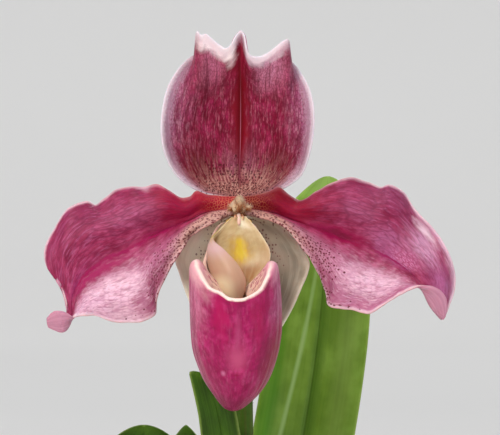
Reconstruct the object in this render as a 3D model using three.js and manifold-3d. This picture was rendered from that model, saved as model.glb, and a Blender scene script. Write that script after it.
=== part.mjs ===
// A slipper orchid in flower, standing in a plain terracotta pot.
// Millimetres, +Z up, the flower faces -Y. The origin is the middle of the pot's underside.

import * as THREE from 'three';
import { mergeVertices } from 'three/addons/utils/BufferGeometryUtils.js';
import Module from 'manifold-3d';

const wasm = await Module();
wasm.setup();

// ---- driving dimensions ----

const potHeight = 84;
const potTopRadius = 52;
const potFootRadius = 36;
const potWall = 5;
const potFloor = 6;
const potBandHeight = 20;
const potBandStep = 4;
const potLipDrop = 1.5;
const potCorner = 1.5;
const potKneeDrop = 4;
const potSegments = 48;
const drainRadius = 5;
const drainRing = 18;
const drainCount = 3;
const drainSegments = 20;

const mixTop = 74;
const mixCrownRise = 3;
const mixCrownRadius = 10;
const mixShoulderRise = 1.8;
const mixSegments = 40;
const clearance = 0.35;

const crownHeight = 9;
const crownRadius = 6;
const crownY = 8;

const flowerY = -20;
const flowerZ = 220;

// The flower's points are drawn as they are seen from a metre in front of it, at this x and height.
const viewDistance = 1000;
const viewX = 3;
const viewZ = -1.4;

const scapeRadius = 2.4;
const ovaryRadius = 2.7;

const leafThickness = 1.6;
const leafEdge = 0.9;
const leafRails = [-1, -0.5, 0, 0.5, 1];
const leafStations = 16;
const leafBlunt = 0.3;
const leafSlantReach = 9; // how far back from its end a slanting tip begins
const tepalThickness = 0.9;
const tepalEdge = 0.5;
const shieldThickness = 0.75;
const pouchThickness = 0.95;

// ---- shared helpers ----

const material = (color, roughness, metalness = 0) =>
  new THREE.MeshStandardMaterial({ color, roughness, metalness });

const vector = ([x, y, z]) => new THREE.Vector3(x, y, z);

const curveThrough = (points) =>
  new THREE.CatmullRomCurve3(points.map((p) => (p.isVector3 ? p : vector(p))), false, 'centripetal');

const curveOf = (numbers) => curveThrough(numbers.map((number) => [number, 0, 0]));

// Value in a table's column where its first column reaches x, straight between its rows.
function lookup(table, column, x) {
  const found = table.findIndex((row) => row[0] >= x);
  const high = found < 0 ? table.length - 1 : Math.max(found, 1);
  const [from, to] = [table[high - 1], table[high]];
  const t = THREE.MathUtils.clamp((x - from[0]) / (to[0] - from[0]), 0, 1);
  return THREE.MathUtils.lerp(from[column], to[column], t);
}

// A point of the flower as seen from in front, put at its true place in depth.
function setBack(point) {
  const scale = 1 + point.y / viewDistance;
  return new THREE.Vector3(viewX + (point.x - viewX) * scale, point.y, viewZ + (point.z - viewZ) * scale);
}

// Only the position is kept, so that neighbouring faces share their vertices.
function weld(geometry) {
  const bare = geometry.clone();
  bare.deleteAttribute('normal');
  bare.deleteAttribute('uv');
  return mergeVertices(bare, 1e-4);
}

function signedVolume(positions, faces) {
  let sum = 0;
  for (const [a, b, c] of faces) {
    sum += positions[a].dot(new THREE.Vector3().crossVectors(positions[b], positions[c]));
  }
  return sum;
}

// Closed body from points and triangles, turned so that its faces point out.
function body(positions, faces) {
  const outward = signedVolume(positions, faces) > 0;
  const index = faces.flatMap(([a, b, c]) => (outward ? [a, b, c] : [a, c, b]));
  const geometry = new THREE.BufferGeometry();
  const numbers = positions.flatMap((p) => p.toArray());
  geometry.setAttribute('position', new THREE.Float32BufferAttribute(numbers, 3));
  geometry.setIndex(index);
  geometry.computeVertexNormals();
  return geometry;
}

function quad(faces, a, b, c, d) {
  faces.push([a, b, c], [a, c, d]);
}

// A grid of points on a thin living sheet, across its rails and along them.
function gridOn(rails, along, across) {
  const curves = rails.map(curveThrough);
  const grid = [];
  for (let i = 0; i <= along; i += 1) {
    const row = curveThrough(curves.map((curve) => curve.getPoint(i / along)));
    const points = [];
    for (let j = 0; j <= across; j += 1) {
      points.push(row.getPoint(j / across));
    }
    grid.push(points);
  }
  return grid;
}

function normalAt(grid, i, j) {
  const before = grid[Math.max(i - 1, 0)][j];
  const after = grid[Math.min(i + 1, grid.length - 1)][j];
  const left = grid[i][Math.max(j - 1, 0)];
  const right = grid[i][Math.min(j + 1, grid[i].length - 1)];
  const alongway = new THREE.Vector3().subVectors(after, before);
  const crossway = new THREE.Vector3().subVectors(right, left);
  return alongway.cross(crossway).normalize();
}

// A petal, sepal or leaf: a grid of its middle surface, from base to tip, thinner towards its margins.
function sheet(grid, { thick, edge }) {
  const along = grid.length - 1;
  const across = grid[0].length - 1;
  const positions = [];
  const front = [];
  const back = [];
  for (let i = 0; i <= along; i += 1) {
    front.push([]);
    back.push([]);
    for (let j = 0; j <= across; j += 1) {
      const inward = Math.sin((Math.PI * j) / across) * Math.min(1, (along - i) / 2);
      const half = (edge + (thick - edge) * inward) / 2;
      const offset = normalAt(grid, i, j).multiplyScalar(half);
      front[i].push(positions.push(grid[i][j].clone().add(offset)) - 1);
      back[i].push(positions.push(grid[i][j].clone().sub(offset)) - 1);
    }
  }
  const faces = [];
  for (let i = 0; i < along; i += 1) {
    for (let j = 0; j < across; j += 1) {
      quad(faces, front[i][j], front[i][j + 1], front[i + 1][j + 1], front[i + 1][j]);
      quad(faces, back[i][j], back[i + 1][j], back[i + 1][j + 1], back[i][j + 1]);
    }
    quad(faces, front[i][0], front[i + 1][0], back[i + 1][0], back[i][0]);
    quad(faces, front[i + 1][across], front[i][across], back[i][across], back[i + 1][across]);
  }
  for (let j = 0; j < across; j += 1) {
    quad(faces, front[0][j + 1], front[0][j], back[0][j], back[0][j + 1]);
    quad(faces, front[along][j], front[along][j + 1], back[along][j + 1], back[along][j]);
  }
  return body(positions, faces);
}

// A round stalk: sections of [centre, radius across, radius up] along a path, closed at both ends.
function stalk(path, radii, { along, around }) {
  const curve = curveThrough(path);
  const frames = curve.computeFrenetFrames(along, false);
  const sizes = curveThrough(radii.map(([rx, ry]) => [rx, ry, 0]));
  const positions = [];
  const rings = [];
  for (let i = 0; i <= along; i += 1) {
    const centre = curve.getPointAt(i / along);
    const size = sizes.getPoint(i / along);
    const ring = [];
    for (let k = 0; k < around; k += 1) {
      const angle = (2 * Math.PI * k) / around;
      const point = centre.clone();
      point.addScaledVector(frames.normals[i], Math.cos(angle) * size.x);
      point.addScaledVector(frames.binormals[i], Math.sin(angle) * size.y);
      ring.push(positions.push(point) - 1);
    }
    rings.push(ring);
  }
  const foot = positions.push(curve.getPoint(0)) - 1;
  const head = positions.push(curve.getPoint(1)) - 1;
  const faces = [];
  for (let k = 0; k < around; k += 1) {
    const next = (k + 1) % around;
    for (let i = 0; i < along; i += 1) {
      quad(faces, rings[i][k], rings[i][next], rings[i + 1][next], rings[i + 1][k]);
    }
    faces.push([foot, rings[0][next], rings[0][k]]);
    faces.push([head, rings[along][k], rings[along][next]]);
  }
  return body(positions, faces);
}

function toManifold(geometry) {
  const welded = weld(geometry);
  const vertProperties = Float32Array.from(welded.attributes.position.array);
  const triVerts = Uint32Array.from(welded.index.array);
  return new wasm.Manifold(new wasm.Mesh({ numProp: 3, vertProperties, triVerts }));
}

function fromManifold(solid) {
  const mesh = solid.getMesh();
  const geometry = new THREE.BufferGeometry();
  geometry.setAttribute('position', new THREE.Float32BufferAttribute(Array.from(mesh.vertProperties), 3));
  geometry.setIndex(Array.from(mesh.triVerts));
  geometry.computeVertexNormals();
  return geometry;
}

function node(name, geometry, look) {
  const mesh = new THREE.Mesh(geometry, look);
  mesh.name = name;
  return mesh;
}

// A lathe turned so that its axis is +Z, its profile given as [radius, height].
function turned(profile, segments) {
  const points = profile.map(([radius, height]) => new THREE.Vector2(radius, height));
  return new THREE.LatheGeometry(points, segments).rotateX(Math.PI / 2);
}

// ---- pot, mix and crown ----

const potBandFoot = potHeight - potBandHeight;
const potKnee = potBandFoot - potKneeDrop;
const potTaper = (potTopRadius - potBandStep - potFootRadius) / potBandFoot;
const potOuterAt = (height) => potFootRadius + potTaper * height;

// Inner radius and height of the wall: floor, knee below the band, lip.
const potInner = [
  [potFloor, potOuterAt(potFloor) - potWall],
  [potKnee, potOuterAt(potBandFoot) - potWall],
  [potHeight - potLipDrop, potTopRadius - potWall],
];

function pot() {
  const wall = turned(
    [
      [0, 0],
      [potFootRadius - potCorner, 0],
      [potOuterAt(potCorner), potCorner],
      [potOuterAt(potBandFoot), potBandFoot],
      [potTopRadius - potCorner, potBandFoot],
      [potTopRadius - potCorner / 3, potBandFoot + potCorner],
      [potTopRadius, potHeight - potCorner],
      [potTopRadius - potCorner, potHeight],
      ...potInner.map(([height, radius]) => [radius, height]).reverse(),
      [0, potFloor],
    ],
    potSegments,
  );
  let solid = toManifold(wall);
  for (let k = 0; k < drainCount; k += 1) {
    const angle = (2 * Math.PI * k) / drainCount;
    const hole = new THREE.CylinderGeometry(drainRadius, drainRadius, potFloor * 3, drainSegments);
    hole.rotateX(Math.PI / 2);
    hole.translate(drainRing * Math.cos(angle), drainRing * Math.sin(angle), 0);
    solid = solid.subtract(toManifold(hole));
  }
  return fromManifold(solid);
}

function pottingMix() {
  const gap = clearance * 1.3;
  const radiusAt = (height) => lookup(potInner, 1, height) - gap;
  return turned(
    [
      [0, potFloor + clearance],
      [radiusAt(potFloor), potFloor + clearance],
      [radiusAt(potKnee), potKnee],
      [radiusAt(mixTop), mixTop],
      [potTopRadius / 2, mixTop + mixShoulderRise],
      [mixCrownRadius, mixTop + mixCrownRise],
      [0, mixTop + mixCrownRise],
    ],
    mixSegments,
  );
}

const crownFoot = mixTop + mixCrownRise + clearance;

function crown() {
  const profile = [
    [0, 0],
    [crownRadius * 0.9, 0],
    [crownRadius, crownHeight * 0.35],
    [crownRadius * 0.8, crownHeight * 0.8],
    [crownRadius * 0.5, crownHeight],
    [0, crownHeight],
  ];
  return turned(profile, 20).translate(0, crownY, crownFoot);
}

// ---- leaves ----

// A strap leaf: its midrib path, half widths along it, the way its face looks, its channel depth, and
// how far from the tip its margins begin to round off, and how fully. A slant sets one side of the
// tip back along the leaf and the other forward.
function leaf({ path, halfWidths, face, channel, tip, fullness, slant = 0 }) {
  const midrib = curveThrough(path);
  const width = curveOf(halfWidths);
  const gutter = curveOf(channel);
  const facing = curveThrough(face);
  const end = midrib.getPoint(1);
  const rails = leafRails.map(() => []);
  for (let i = 0; i <= leafStations; i += 1) {
    // the stations crowd together towards the rounded tip
    const t = Math.sin((Math.PI * i) / leafStations / 2);
    const centre = midrib.getPoint(t);
    const tangent = midrib.getTangent(t);
    const normal = facing.getPoint(t);
    normal.addScaledVector(tangent, -normal.dot(tangent)).normalize();
    const side = new THREE.Vector3().crossVectors(tangent, normal).normalize();
    const toTip = Math.max(centre.distanceTo(end), leafBlunt);
    const half = width.getPoint(t).x * Math.min(1, toTip / tip) ** fullness;
    const rise = gutter.getPoint(t).x;
    const nearTip = Math.max(0, 1 - toTip / leafSlantReach);
    const setBackBy = (slant * nearTip * half) / width.getPoint(1).x;
    leafRails.forEach((across, rail) => {
      const lift = rise * Math.abs(across) ** 1.4;
      const point = centre.clone().addScaledVector(side, across * half).addScaledVector(normal, lift);
      rails[rail].push(point.addScaledVector(tangent, -across * setBackBy));
    });
  }
  return sheet(gridOn(rails, leafStations, 6), { thick: leafThickness, edge: leafEdge });
}

const leafSpecs = {
  leaf_1: {
    path: [
      [2, 17, 82], [5, 20, 105], [12, 23, 137], [17.2, 26, 163], [20.8, 32, 186], [22.9, 39, 208],
      [23.5, 43.5, 221.5], [23.7, 45, 229.6],
    ],
    halfWidths: [4.5, 8.5, 12, 13.2, 13.1, 12.4, 11, 9.6],
    face: [[0, -1, 0.1], [0, -1, 0.2], [0, -1, 0.1], [-0.1, -1, 0]],
    channel: [3.5, 4, 3.5, 3, 2.5, 2, 0.2],
    tip: 10,
    fullness: 0.55,
  },
  leaf_2: {
    path: [
      [-4.5, -2.5, 82], [-4.2, -6, 105], [-3, -9.5, 135], [-3, -11.3, 156], [-4.8, -12.2, 168],
      [-7.8, -12.8, 178.8],
    ],
    halfWidths: [4, 6.4, 6.6, 5.6, 4.9, 4.2],
    face: [[-0.4, -1, 0.1], [-0.4, -1, 0.1], [-0.3, -1, 0], [0.1, -1, 0.1]],
    channel: [1.4, 2.2, 2.4, 2, 1.5, 0.3],
    tip: 1.8,
    fullness: 0.4,
    slant: 3.4,
  },
  leaf_3: {
    path: [[-11.5, 5.5, 82], [-17, 6, 104], [-22, 6, 128], [-24.6, 5, 150], [-24.2, 3, 165.6]],
    halfWidths: [5, 9, 11.5, 12, 11],
    face: [[1, -0.6, 0.2], [0.7, -1, 0.2], [0.4, -1, 0.1], [0.2, -1, 0.2]],
    channel: [3.5, 3.5, 3, 2.5, 0.8],
    tip: 7,
    fullness: 0.5,
  },
  leaf_4: {
    path: [[10, 6, 82], [22, 3, 103], [42, -2, 121], [64, -7, 126], [84, -12, 115], [95, -15, 99]],
    halfWidths: [5, 9.5, 12.5, 13.5, 11.5, 7],
    face: [[-1, 0.1, 0.7], [-0.8, 0, 1], [-0.3, 0, 1], [0.3, 0, 1]],
    channel: [3.5, 4, 3, 2.4, 1.8, 0.3],
    tip: 10,
    fullness: 0.65,
  },
  leaf_5: {
    path: [[6.5, -6, 82], [13, -18, 102], [21, -37, 118], [29, -58, 121], [35, -77, 110], [39, -87, 95]],
    halfWidths: [4, 9, 12, 12.8, 10.5, 7],
    face: [[0, 1, 0.6], [-0.2, 0.8, 1], [-0.1, 0.3, 1], [0.1, -0.4, 1]],
    channel: [3, 3.6, 3, 2.4, 1.6, 0.3],
    tip: 10,
    fullness: 0.65,
  },
  leaf_6: {
    path: [[-5, 20, 82], [-9, 27, 104], [-12, 33, 128], [-13.6, 38, 147], [-14, 41, 163.6]],
    halfWidths: [4.5, 8.5, 10, 8.4, 5],
    face: [[0.3, -1, 0.2], [0.2, -1, 0.3], [0.1, -1, 0.2], [0, -1, 0.2]],
    channel: [3, 3.6, 3, 2, 0.3],
    tip: 8,
    fullness: 0.65,
  },
  leaf_7: {
    path: [
      [-13.5, 13, 80], [-24, 17, 104], [-42, 22, 126], [-62, 27, 132], [-81, 32, 122], [-92, 35, 106],
    ],
    halfWidths: [4.5, 9.5, 12.5, 13.5, 11.5, 7],
    face: [[1, -0.2, 0.7], [0.8, 0, 1], [0.2, 0, 1], [-0.4, 0.1, 1]],
    channel: [3, 4, 3, 2.4, 1.8, 0.3],
    tip: 10,
    fullness: 0.65,
  },
};

// ---- scape, bract and ovary ----

const scapePath = [[0.6, 8, 87], [1.2, 4, 115], [1.6, 1.5, 150], [1.2, 0.5, 178], [0.8, 0.8, 196]];
const ovaryPath = [
  [0.8, 0.8, 196.5], [0.6, 0.2, 206], [0.3, -4.5, 214.8], [0, -10.5, 219.2], [0, -17, 220.2],
];

// The bract wraps round the foot of the ovary: radii and heights up its keel, and the drop at its sides.
const bractWrap = 2.2;
const bractRadii = [3.6, 4.6, 5, 4.8, 4.6];
const bractHeights = [196, 200, 205, 209];
const bractTip = 213;
const bractSideDrop = 7;
const bractAxisX = 0.6;
const bractAxisY = 1.6;
const bractLean = 0.55;
const bractRails = 6;
const bractThickness = 0.8;

function bract() {
  const rails = [];
  for (let k = 0; k <= bractRails; k += 1) {
    const angle = THREE.MathUtils.lerp(-bractWrap, bractWrap, k / bractRails);
    const tip = bractTip - (bractSideDrop * Math.abs(angle)) / bractWrap;
    const last = bractHeights.length;
    rails.push(
      [...bractHeights, tip].map((height, i) => {
        const x = bractAxisX + bractRadii[i] * Math.sin(angle);
        const y = bractAxisY + i * bractLean + bractRadii[i] * Math.cos(angle);
        return [x, y, Math.min(height, tip - (last - i) * 0.4)];
      }),
    );
  }
  return sheet(gridOn(rails, 8, 10), { thick: bractThickness, edge: tepalEdge });
}

// ---- flower, in its own frame: the column is at the origin and the flower faces -Y ----

const tepal = { thick: tepalThickness, edge: tepalEdge };
const shield = { thick: shieldThickness, edge: tepalEdge };

const flowerGrid = (grid) => grid.map((row) => row.map(setBack));

// Left margin, the fold behind the corner, the corner crease, half way, midrib, and the same to the right.
const dorsalRails = [
  [
    [-1.8, 1.8, 3.5], [-9.2, 3.2, 4.9], [-15.4, 1.7, 9], [-18.7, 0.5, 15.6], [-19.3, 0.5, 23],
    [-17.6, 2.5, 31.4], [-13.4, 5.5, 37.6], [-10, 7.5, 39.6],
  ],
  [
    [-1.5, 1.8, 3.5], [-7.8, 4.1, 5.2], [-13.2, 3.4, 9.4], [-15.8, 3, 16], [-16, 2.6, 23],
    [-14.4, 3.6, 30.8], [-11.7, 5, 36.6], [-9.2, 5.5, 40],
  ],
  [
    [-1.2, 1.8, 3.6], [-6.4, 4.4, 5.4], [-10.3, 4.7, 9.6], [-12.2, 4.7, 16.1], [-12.3, 4, 23],
    [-10.9, 2.6, 30.4], [-10.3, 1.6, 37.4], [-10.1, 0.8, 45.2],
  ],
  [
    [-0.6, 1.8, 3.6], [-3.2, 4.8, 5.6], [-5.2, 6.5, 9.8], [-6, 7.5, 16], [-6.2, 7.2, 23],
    [-5.6, 5.6, 30.4], [-4.6, 3.4, 36.5], [-3.1, 1.5, 41],
  ],
  [
    [0, 1.8, 3.6], [0.2, 5, 5.8], [0.4, 7.2, 9.8], [0.6, 8.8, 16], [0.7, 8.6, 23], [0.7, 6.6, 30.4],
    [0.7, 3.2, 37.5], [0.7, -0.8, 45.2],
  ],
  [
    [0.6, 1.8, 3.6], [3.3, 4.8, 5.6], [5.4, 6.5, 9.8], [6.2, 7.5, 16], [6.6, 7.2, 23],
    [6.4, 5.6, 30.2], [5.7, 3.4, 35], [4.6, 1.5, 39],
  ],
  [
    [1.2, 1.8, 3.6], [6.2, 4.4, 5.4], [10.3, 4.7, 9.6], [12, 4.7, 16.1], [12.5, 4, 23],
    [12.4, 2.6, 30], [12.6, 1.6, 36.4], [12.4, 0.8, 43.2],
  ],
  [
    [1.5, 1.8, 3.5], [7.8, 4.1, 5.2], [13.2, 3.4, 9.4], [15.6, 3, 15.9], [16.2, 2.6, 23.2],
    [15.6, 3.6, 30.2], [13.9, 5, 35.4], [11.6, 5.5, 38.4],
  ],
  [
    [1.8, 1.8, 3.5], [9.4, 3.2, 4.9], [15.6, 1.7, 8.8], [18.2, 0.5, 15.4], [19.2, 0.5, 24],
    [18.1, 2.5, 30.4], [15, 5.5, 35.9], [12.3, 7.5, 38.4],
  ],
];

// Share of the half width at which each rail runs, against its place in the list.
const dorsalShares = [-1, -0.83, -0.67, -0.33, 0, 0.33, 0.67, 0.83, 1].map((share, i) => [i / 8, share]);

// The scalloped top edge between the corners: share of the half width, x, height.
const dorsalTop = [
  [-0.67, -10.1, 45.3], [-0.6, -9.1, 44.3], [-0.54, -8.2, 44.6], [-0.43, -6, 43], [-0.33, -4.4, 41.7],
  [-0.22, -3, 41], [-0.14, -1.8, 42], [-0.06, -0.5, 44.3], [0, 0.7, 45.4], [0.05, 1.6, 44.4],
  [0.1, 2.1, 41.6], [0.17, 3, 39.3], [0.28, 5.1, 38.9], [0.4, 7.5, 39.9], [0.53, 9.7, 41.6],
  [0.61, 11.2, 42.8], [0.67, 12.4, 43.3],
];
const dorsalTopFrom = 0.74;
const dorsalCorner = 0.68;

function dorsalSepal() {
  const along = 20;
  const across = 32;
  const grid = gridOn(dorsalRails, along, across);
  for (let j = 0; j <= across; j += 1) {
    const share = lookup(dorsalShares, 1, j / across);
    const end = grid[along][j].clone();
    const shiftX = lookup(dorsalTop, 1, share) - end.x;
    const shiftZ = lookup(dorsalTop, 2, share) - end.z;
    const inside = Math.abs(share) < dorsalCorner;
    for (let i = 0; i <= along && inside; i += 1) {
      const part = THREE.MathUtils.smoothstep(i / along, dorsalTopFrom, 1);
      grid[i][j].add(new THREE.Vector3(shiftX * part, 0, shiftZ * part));
    }
  }
  return sheet(flowerGrid(grid), tepal);
}

// Left margin, left half, keel between the two fused sepals, right half, right margin.
const synsepalRails = [
  [
    [-2.4, 1.8, -4.4], [-8.5, 2.2, -4.6], [-13.3, 1.9, -7.4], [-15.7, 1.4, -11.8], [-14.7, 0.8, -15.5],
    [-13.5, 0, -19.1], [-12.1, -0.8, -22.8], [-9.6, -1.8, -29], [-5.5, -2.8, -35], [-1.2, -3.5, -38.6],
  ],
  [
    [-1.2, 1.9, -4.5], [-4.5, 3, -6.6], [-7.5, 4.5, -11.5], [-7, 4, -18.5], [-5.6, 2.5, -26.2],
    [-3.4, 0, -34], [-0.2, -3, -39],
  ],
  [
    [0, 1.9, -4.5], [0.6, 3.4, -6.6], [1, 6, -11.5], [1, 5.8, -18.5], [0.8, 4, -26.4], [0.6, 1, -34.2],
    [0.4, -2.8, -39.2],
  ],
  [
    [1.2, 1.9, -4.5], [5.5, 3, -6.6], [9, 4.5, -11.7], [9, 4, -18.5], [7.2, 2.5, -26.2], [4.6, 0, -34],
    [1, -3, -39],
  ],
  [
    [2.4, 1.8, -4.4], [9.5, 2.2, -4.6], [15.4, 1.9, -8.2], [17.9, 1.4, -12.6], [17.5, 0.9, -15.4],
    [16.1, 0.2, -18.6], [13.7, -0.8, -24], [10.6, -1.8, -29.4], [6.8, -2.8, -35], [2, -3.5, -38.6],
  ],
];

// Upper margin, upper half, midrib, lower half, lower margin; the margins have twice the points.
const petalLeftRails = [
  [
    [-2.7, 1.7, 3.2], [-4.1, 1.1, 3.8], [-5.6, 0.6, 4.2], [-7.8, 0.4, 4.4], [-10.3, 0.4, 5.3],
    [-11.9, 0.6, 4], [-14, 1, 3.5], [-17.2, 1.6, 5.4], [-20, 2, 6.9], [-23.2, 2.6, 6.4],
    [-27.2, 3, 6.3], [-30.6, 3.5, 5.4], [-33.3, 4, 3.6], [-35.5, 4.2, 1.8], [-37.6, 3.6, 2.7],
    [-42, 2.8, 1.3], [-45.6, 2, -3.6], [-48.4, 0.6, -9.4], [-48, -0.8, -13.2], [-44.8, -2.6, -17.4],
    [-43.2, -4.6, -22.4], [-42.6, -5.4, -25], [-44, -5.8, -25.2], [-46, -6, -25.4], [-47.8, -6.4, -27],
  ],
  [
    [-2.75, 1.6, 2], [-5.7, 0, 2.4], [-9.7, -0.4, 2.5], [-13, -0.6, 0.8], [-18.2, -0.6, 1.7],
    [-24, -0.6, 0.4], [-30.2, -0.6, -2.5], [-37.4, -1.2, -4.6], [-43, -2.2, -10.6],
    [-43.9, -3.4, -17.8], [-42.4, -5.6, -24.2], [-43.8, -6.6, -27.3], [-47.8, -6.8, -27.6],
  ],
  [
    [-2.8, 1.9, 0.5], [-5.9, 1, 0.2], [-9, 0.7, -0.5], [-12.3, 0.3, -2.2], [-16.6, 0, -3.9],
    [-21.3, -0.4, -5.9], [-27, -0.8, -8.9], [-33.8, -1.6, -12], [-39, -2.8, -16.3],
    [-41.3, -4.2, -21.3], [-41.6, -6.2, -26.2], [-43.6, -7.6, -29.7], [-47.6, -7.4, -28.6],
  ],
  [
    [-2.8, 1.5, -0.5], [-5, -0.9, -0.9], [-8.8, -1.6, -2.4], [-12.3, -2.4, -4.4], [-16.6, -4, -8.2],
    [-20.8, -5.4, -12.6], [-24, -6.4, -17.2], [-31.2, -6.6, -19.8], [-36.8, -6.4, -21.5],
    [-39.8, -6.2, -23.8], [-41.2, -7, -26.4], [-43.8, -8.6, -27.4], [-47.8, -7.8, -27.8],
  ],
  [
    [-2.8, 1.4, -1.3], [-3.6, 0, -1.6], [-4.4, -1.6, -2], [-6, -2.2, -2.8], [-8.4, -2.7, -4],
    [-10.3, -3.1, -5.1], [-12.1, -3.7, -6.6], [-13.6, -4.5, -9.2], [-16, -5.4, -12.5],
    [-17.9, -6.2, -16.2], [-19.6, -7, -19.6], [-20.4, -7.8, -22.6], [-20.6, -8.4, -25.6],
    [-24.2, -8.7, -27.6], [-27.4, -8.7, -27.7], [-31.6, -8.4, -27.4], [-34.3, -8, -26.4],
    [-36.6, -7.8, -26], [-38.5, -7.6, -26], [-39.8, -7.6, -26.2], [-41.2, -7.8, -26.3],
    [-42.6, -8.3, -25.3], [-44.6, -8.6, -24.7], [-46.4, -8.4, -25], [-47.9, -8, -26.6],
  ],
];

const petalRightRails = [
  [
    [2.7, 1.7, 3.2], [3.8, 1.1, 3.9], [5, 0.6, 4.4], [7.4, 0.4, 5], [10.4, 0.4, 6.2], [12.4, 0.6, 4.6],
    [15.2, 1, 2.9], [17.6, 1.5, 3.7], [20.3, 2, 5.6], [24, 2.6, 7.4], [27.8, 3, 8.7], [32.2, 3.6, 7.7],
    [36.2, 4, 6.2], [38, 4, 7], [41.5, 3.5, 4.9], [44.6, 2.8, 0.2], [48.6, 2, -3.8], [51.2, 1.6, -7.4],
    [53.4, 0.8, -12], [54.4, 0, -16.4], [54.2, -1, -19.6], [53.4, -2.4, -22.2], [52.7, -3.6, -24],
    [52.1, -4.6, -25.6], [51.4, -5.6, -27],
  ],
  [
    [2.75, 1.6, 2], [5, 0, 2.5], [9.2, -0.4, 2.9], [14.2, -0.6, 0.5], [19, -0.6, 1], [26, -0.6, 1.3],
    [33.2, -0.6, -1], [38.6, -0.8, -2.6], [44.4, -1.6, -8.4], [48.4, -2.4, -13.5], [50.4, -4, -18.2],
    [50.8, -5.2, -23], [51.3, -5.6, -26.8],
  ],
  [
    [2.8, 1.9, 0.5], [5, 1, 0.4], [8.8, 0.7, -0.4], [13, 0.3, -1.9], [18, 0, -3.8], [24.3, -0.4, -6.3],
    [30, -0.8, -8.3], [35, -1.6, -10.6], [39.6, -2.8, -13], [43, -4.2, -15.6], [45.8, -5.8, -18.6],
    [48.2, -7, -23.4], [51, -6.4, -27],
  ],
  [
    [2.8, 1.5, -0.3], [4.7, -0.9, -0.6], [8.7, -1.6, -1.5], [12.8, -2.4, -3.4], [17.4, -4, -6.9],
    [22.3, -5.4, -11.3], [26.6, -6.4, -16], [32.2, -6.6, -18], [38.2, -6.4, -18.4], [42.2, -6.6, -18.1],
    [45.4, -7.8, -18.8], [49.4, -8.6, -21.4], [51.4, -7.4, -26.9],
  ],
  [
    [2.8, 1.4, -0.9], [3.7, 0, -1.1], [4.7, -1.6, -1.4], [6.4, -2.1, -1.8], [8.6, -2.6, -2.5],
    [10.6, -3, -3.4], [12.7, -3.6, -5], [14.8, -4.5, -7.6], [17, -5.4, -10.3], [19, -6.3, -13.6],
    [20.7, -7, -17], [21.9, -7.7, -20.4], [22.5, -8.4, -23.4], [26, -8.7, -24.4], [29.6, -8.9, -24.7],
    [32.4, -8.8, -25.6], [36.2, -8.3, -23.5], [39, -8.1, -21.7], [41.2, -8, -20.4], [43.6, -8.4, -19.2],
    [45.6, -8.7, -18.5], [48, -9, -18.4], [50.6, -8.8, -19.6], [52.4, -8.2, -22.4], [51.9, -7.6, -26.3],
  ],
];

// From top to foot: right margin, back, left back, fold, front, free front edge.
const staminodeRails = [
  [
    [2, -9.6, -1.1], [4.6, -11, -4], [6.4, -12, -6.5], [8.1, -13, -10], [7.6, -14, -13.3],
    [5, -16, -17], [2.6, -18, -20.6],
  ],
  [
    [0.1, -9.4, -1.2], [0, -10.2, -4], [0.4, -10.8, -6.8], [0.8, -11.4, -10.5], [1, -12.6, -14],
    [0.9, -14.6, -17.6], [0.8, -17.2, -20.8],
  ],
  [
    [-1.2, -9.5, -1.3], [-3.4, -10.6, -4.2], [-5.4, -11.4, -7], [-6, -12.4, -10.5], [-5.2, -13.4, -14.3],
    [-4.2, -15.2, -17.8], [-1.8, -17.6, -21],
  ],
  [
    [-1.8, -9.6, -1.4], [-4.8, -11.2, -4.4], [-7.1, -13, -7], [-7.8, -15.4, -10.5],
    [-6.8, -17.4, -14.6], [-5.4, -19, -18], [-2.4, -20, -21.2],
  ],
  [
    [-2, -9.8, -1.4], [-5.2, -11.6, -4.6], [-6.2, -14.4, -7], [-5, -18, -10.4], [-3, -20, -14.3],
    [-1.8, -21, -17.8], [-0.8, -21, -21.3],
  ],
  [
    [-2.1, -10, -1.5], [-5.6, -12, -4.8], [-5.7, -14.8, -7.1], [-2.6, -18.4, -10.2], [0.6, -20.4, -14],
    [2, -21, -17.6], [0.6, -20.4, -21.2],
  ],
];

// Pouch: sections from the toe up, as [height, centre x, centre y, half width, depth forward, depth back].
const pouchSections = [
  [-49.3, -1.1, -23, 1.2, 1.2, 1.2],
  [-48.9, -1.1, -22.9, 2, 2, 2],
  [-47.4, -0.85, -22.6, 3.5, 3.9, 3.6],
  [-45.2, -0.5, -22.1, 5.4, 6.2, 5.7],
  [-41.9, -0.45, -21.4, 7.6, 8.6, 8.2],
  [-38.8, -0.45, -20.7, 9, 10, 9.8],
  [-34.6, -0.5, -19.9, 10.3, 11.3, 11.2],
  [-30, -0.4, -19.2, 10.85, 12, 12],
  [-26.5, -0.45, -18.8, 11, 12.4, 12.5],
  [-22.5, -0.6, -18.4, 11.05, 12.6, 13],
  [-17.2, -0.85, -18, 10.85, 12.2, 13.6],
  [-13.8, -1.05, -17.7, 10.6, 11.7, 14.2],
  [-8, -0.6, -17.3, 9.2, 10.8, 16.2],
  [-2.4, -0.2, -17, 8, 10, 18],
];

// Degrees from the front, height of the rim on the left, on the right, and how far it turns in.
const pouchRim = [
  [0, -22.5, -22.5, 0.7],
  [18, -20.8, -21.7, 0.7],
  [33, -19.6, -20, 1],
  [60, -15.4, -15.3, 2.4],
  [75, -13.7, -13.9, 3.8],
  [88, -13.2, -13.5, 4.3],
  [108, -13.9, -14.2, 4.3],
  [125, -14.9, -15, 3.2],
  [142, -13.6, -13.6, 0.7],
  [156, -6.2, -6.2, 0],
  [166, -3.1, -3.1, 0],
  [180, -2.6, -2.6, 0],
];
const pouchAround = 36;
const pouchWallSteps = 14;
const pouchLobeSteps = 4;
const pouchLobeRise = 0.5;
const pouchLobeSag = 1.5;

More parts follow.
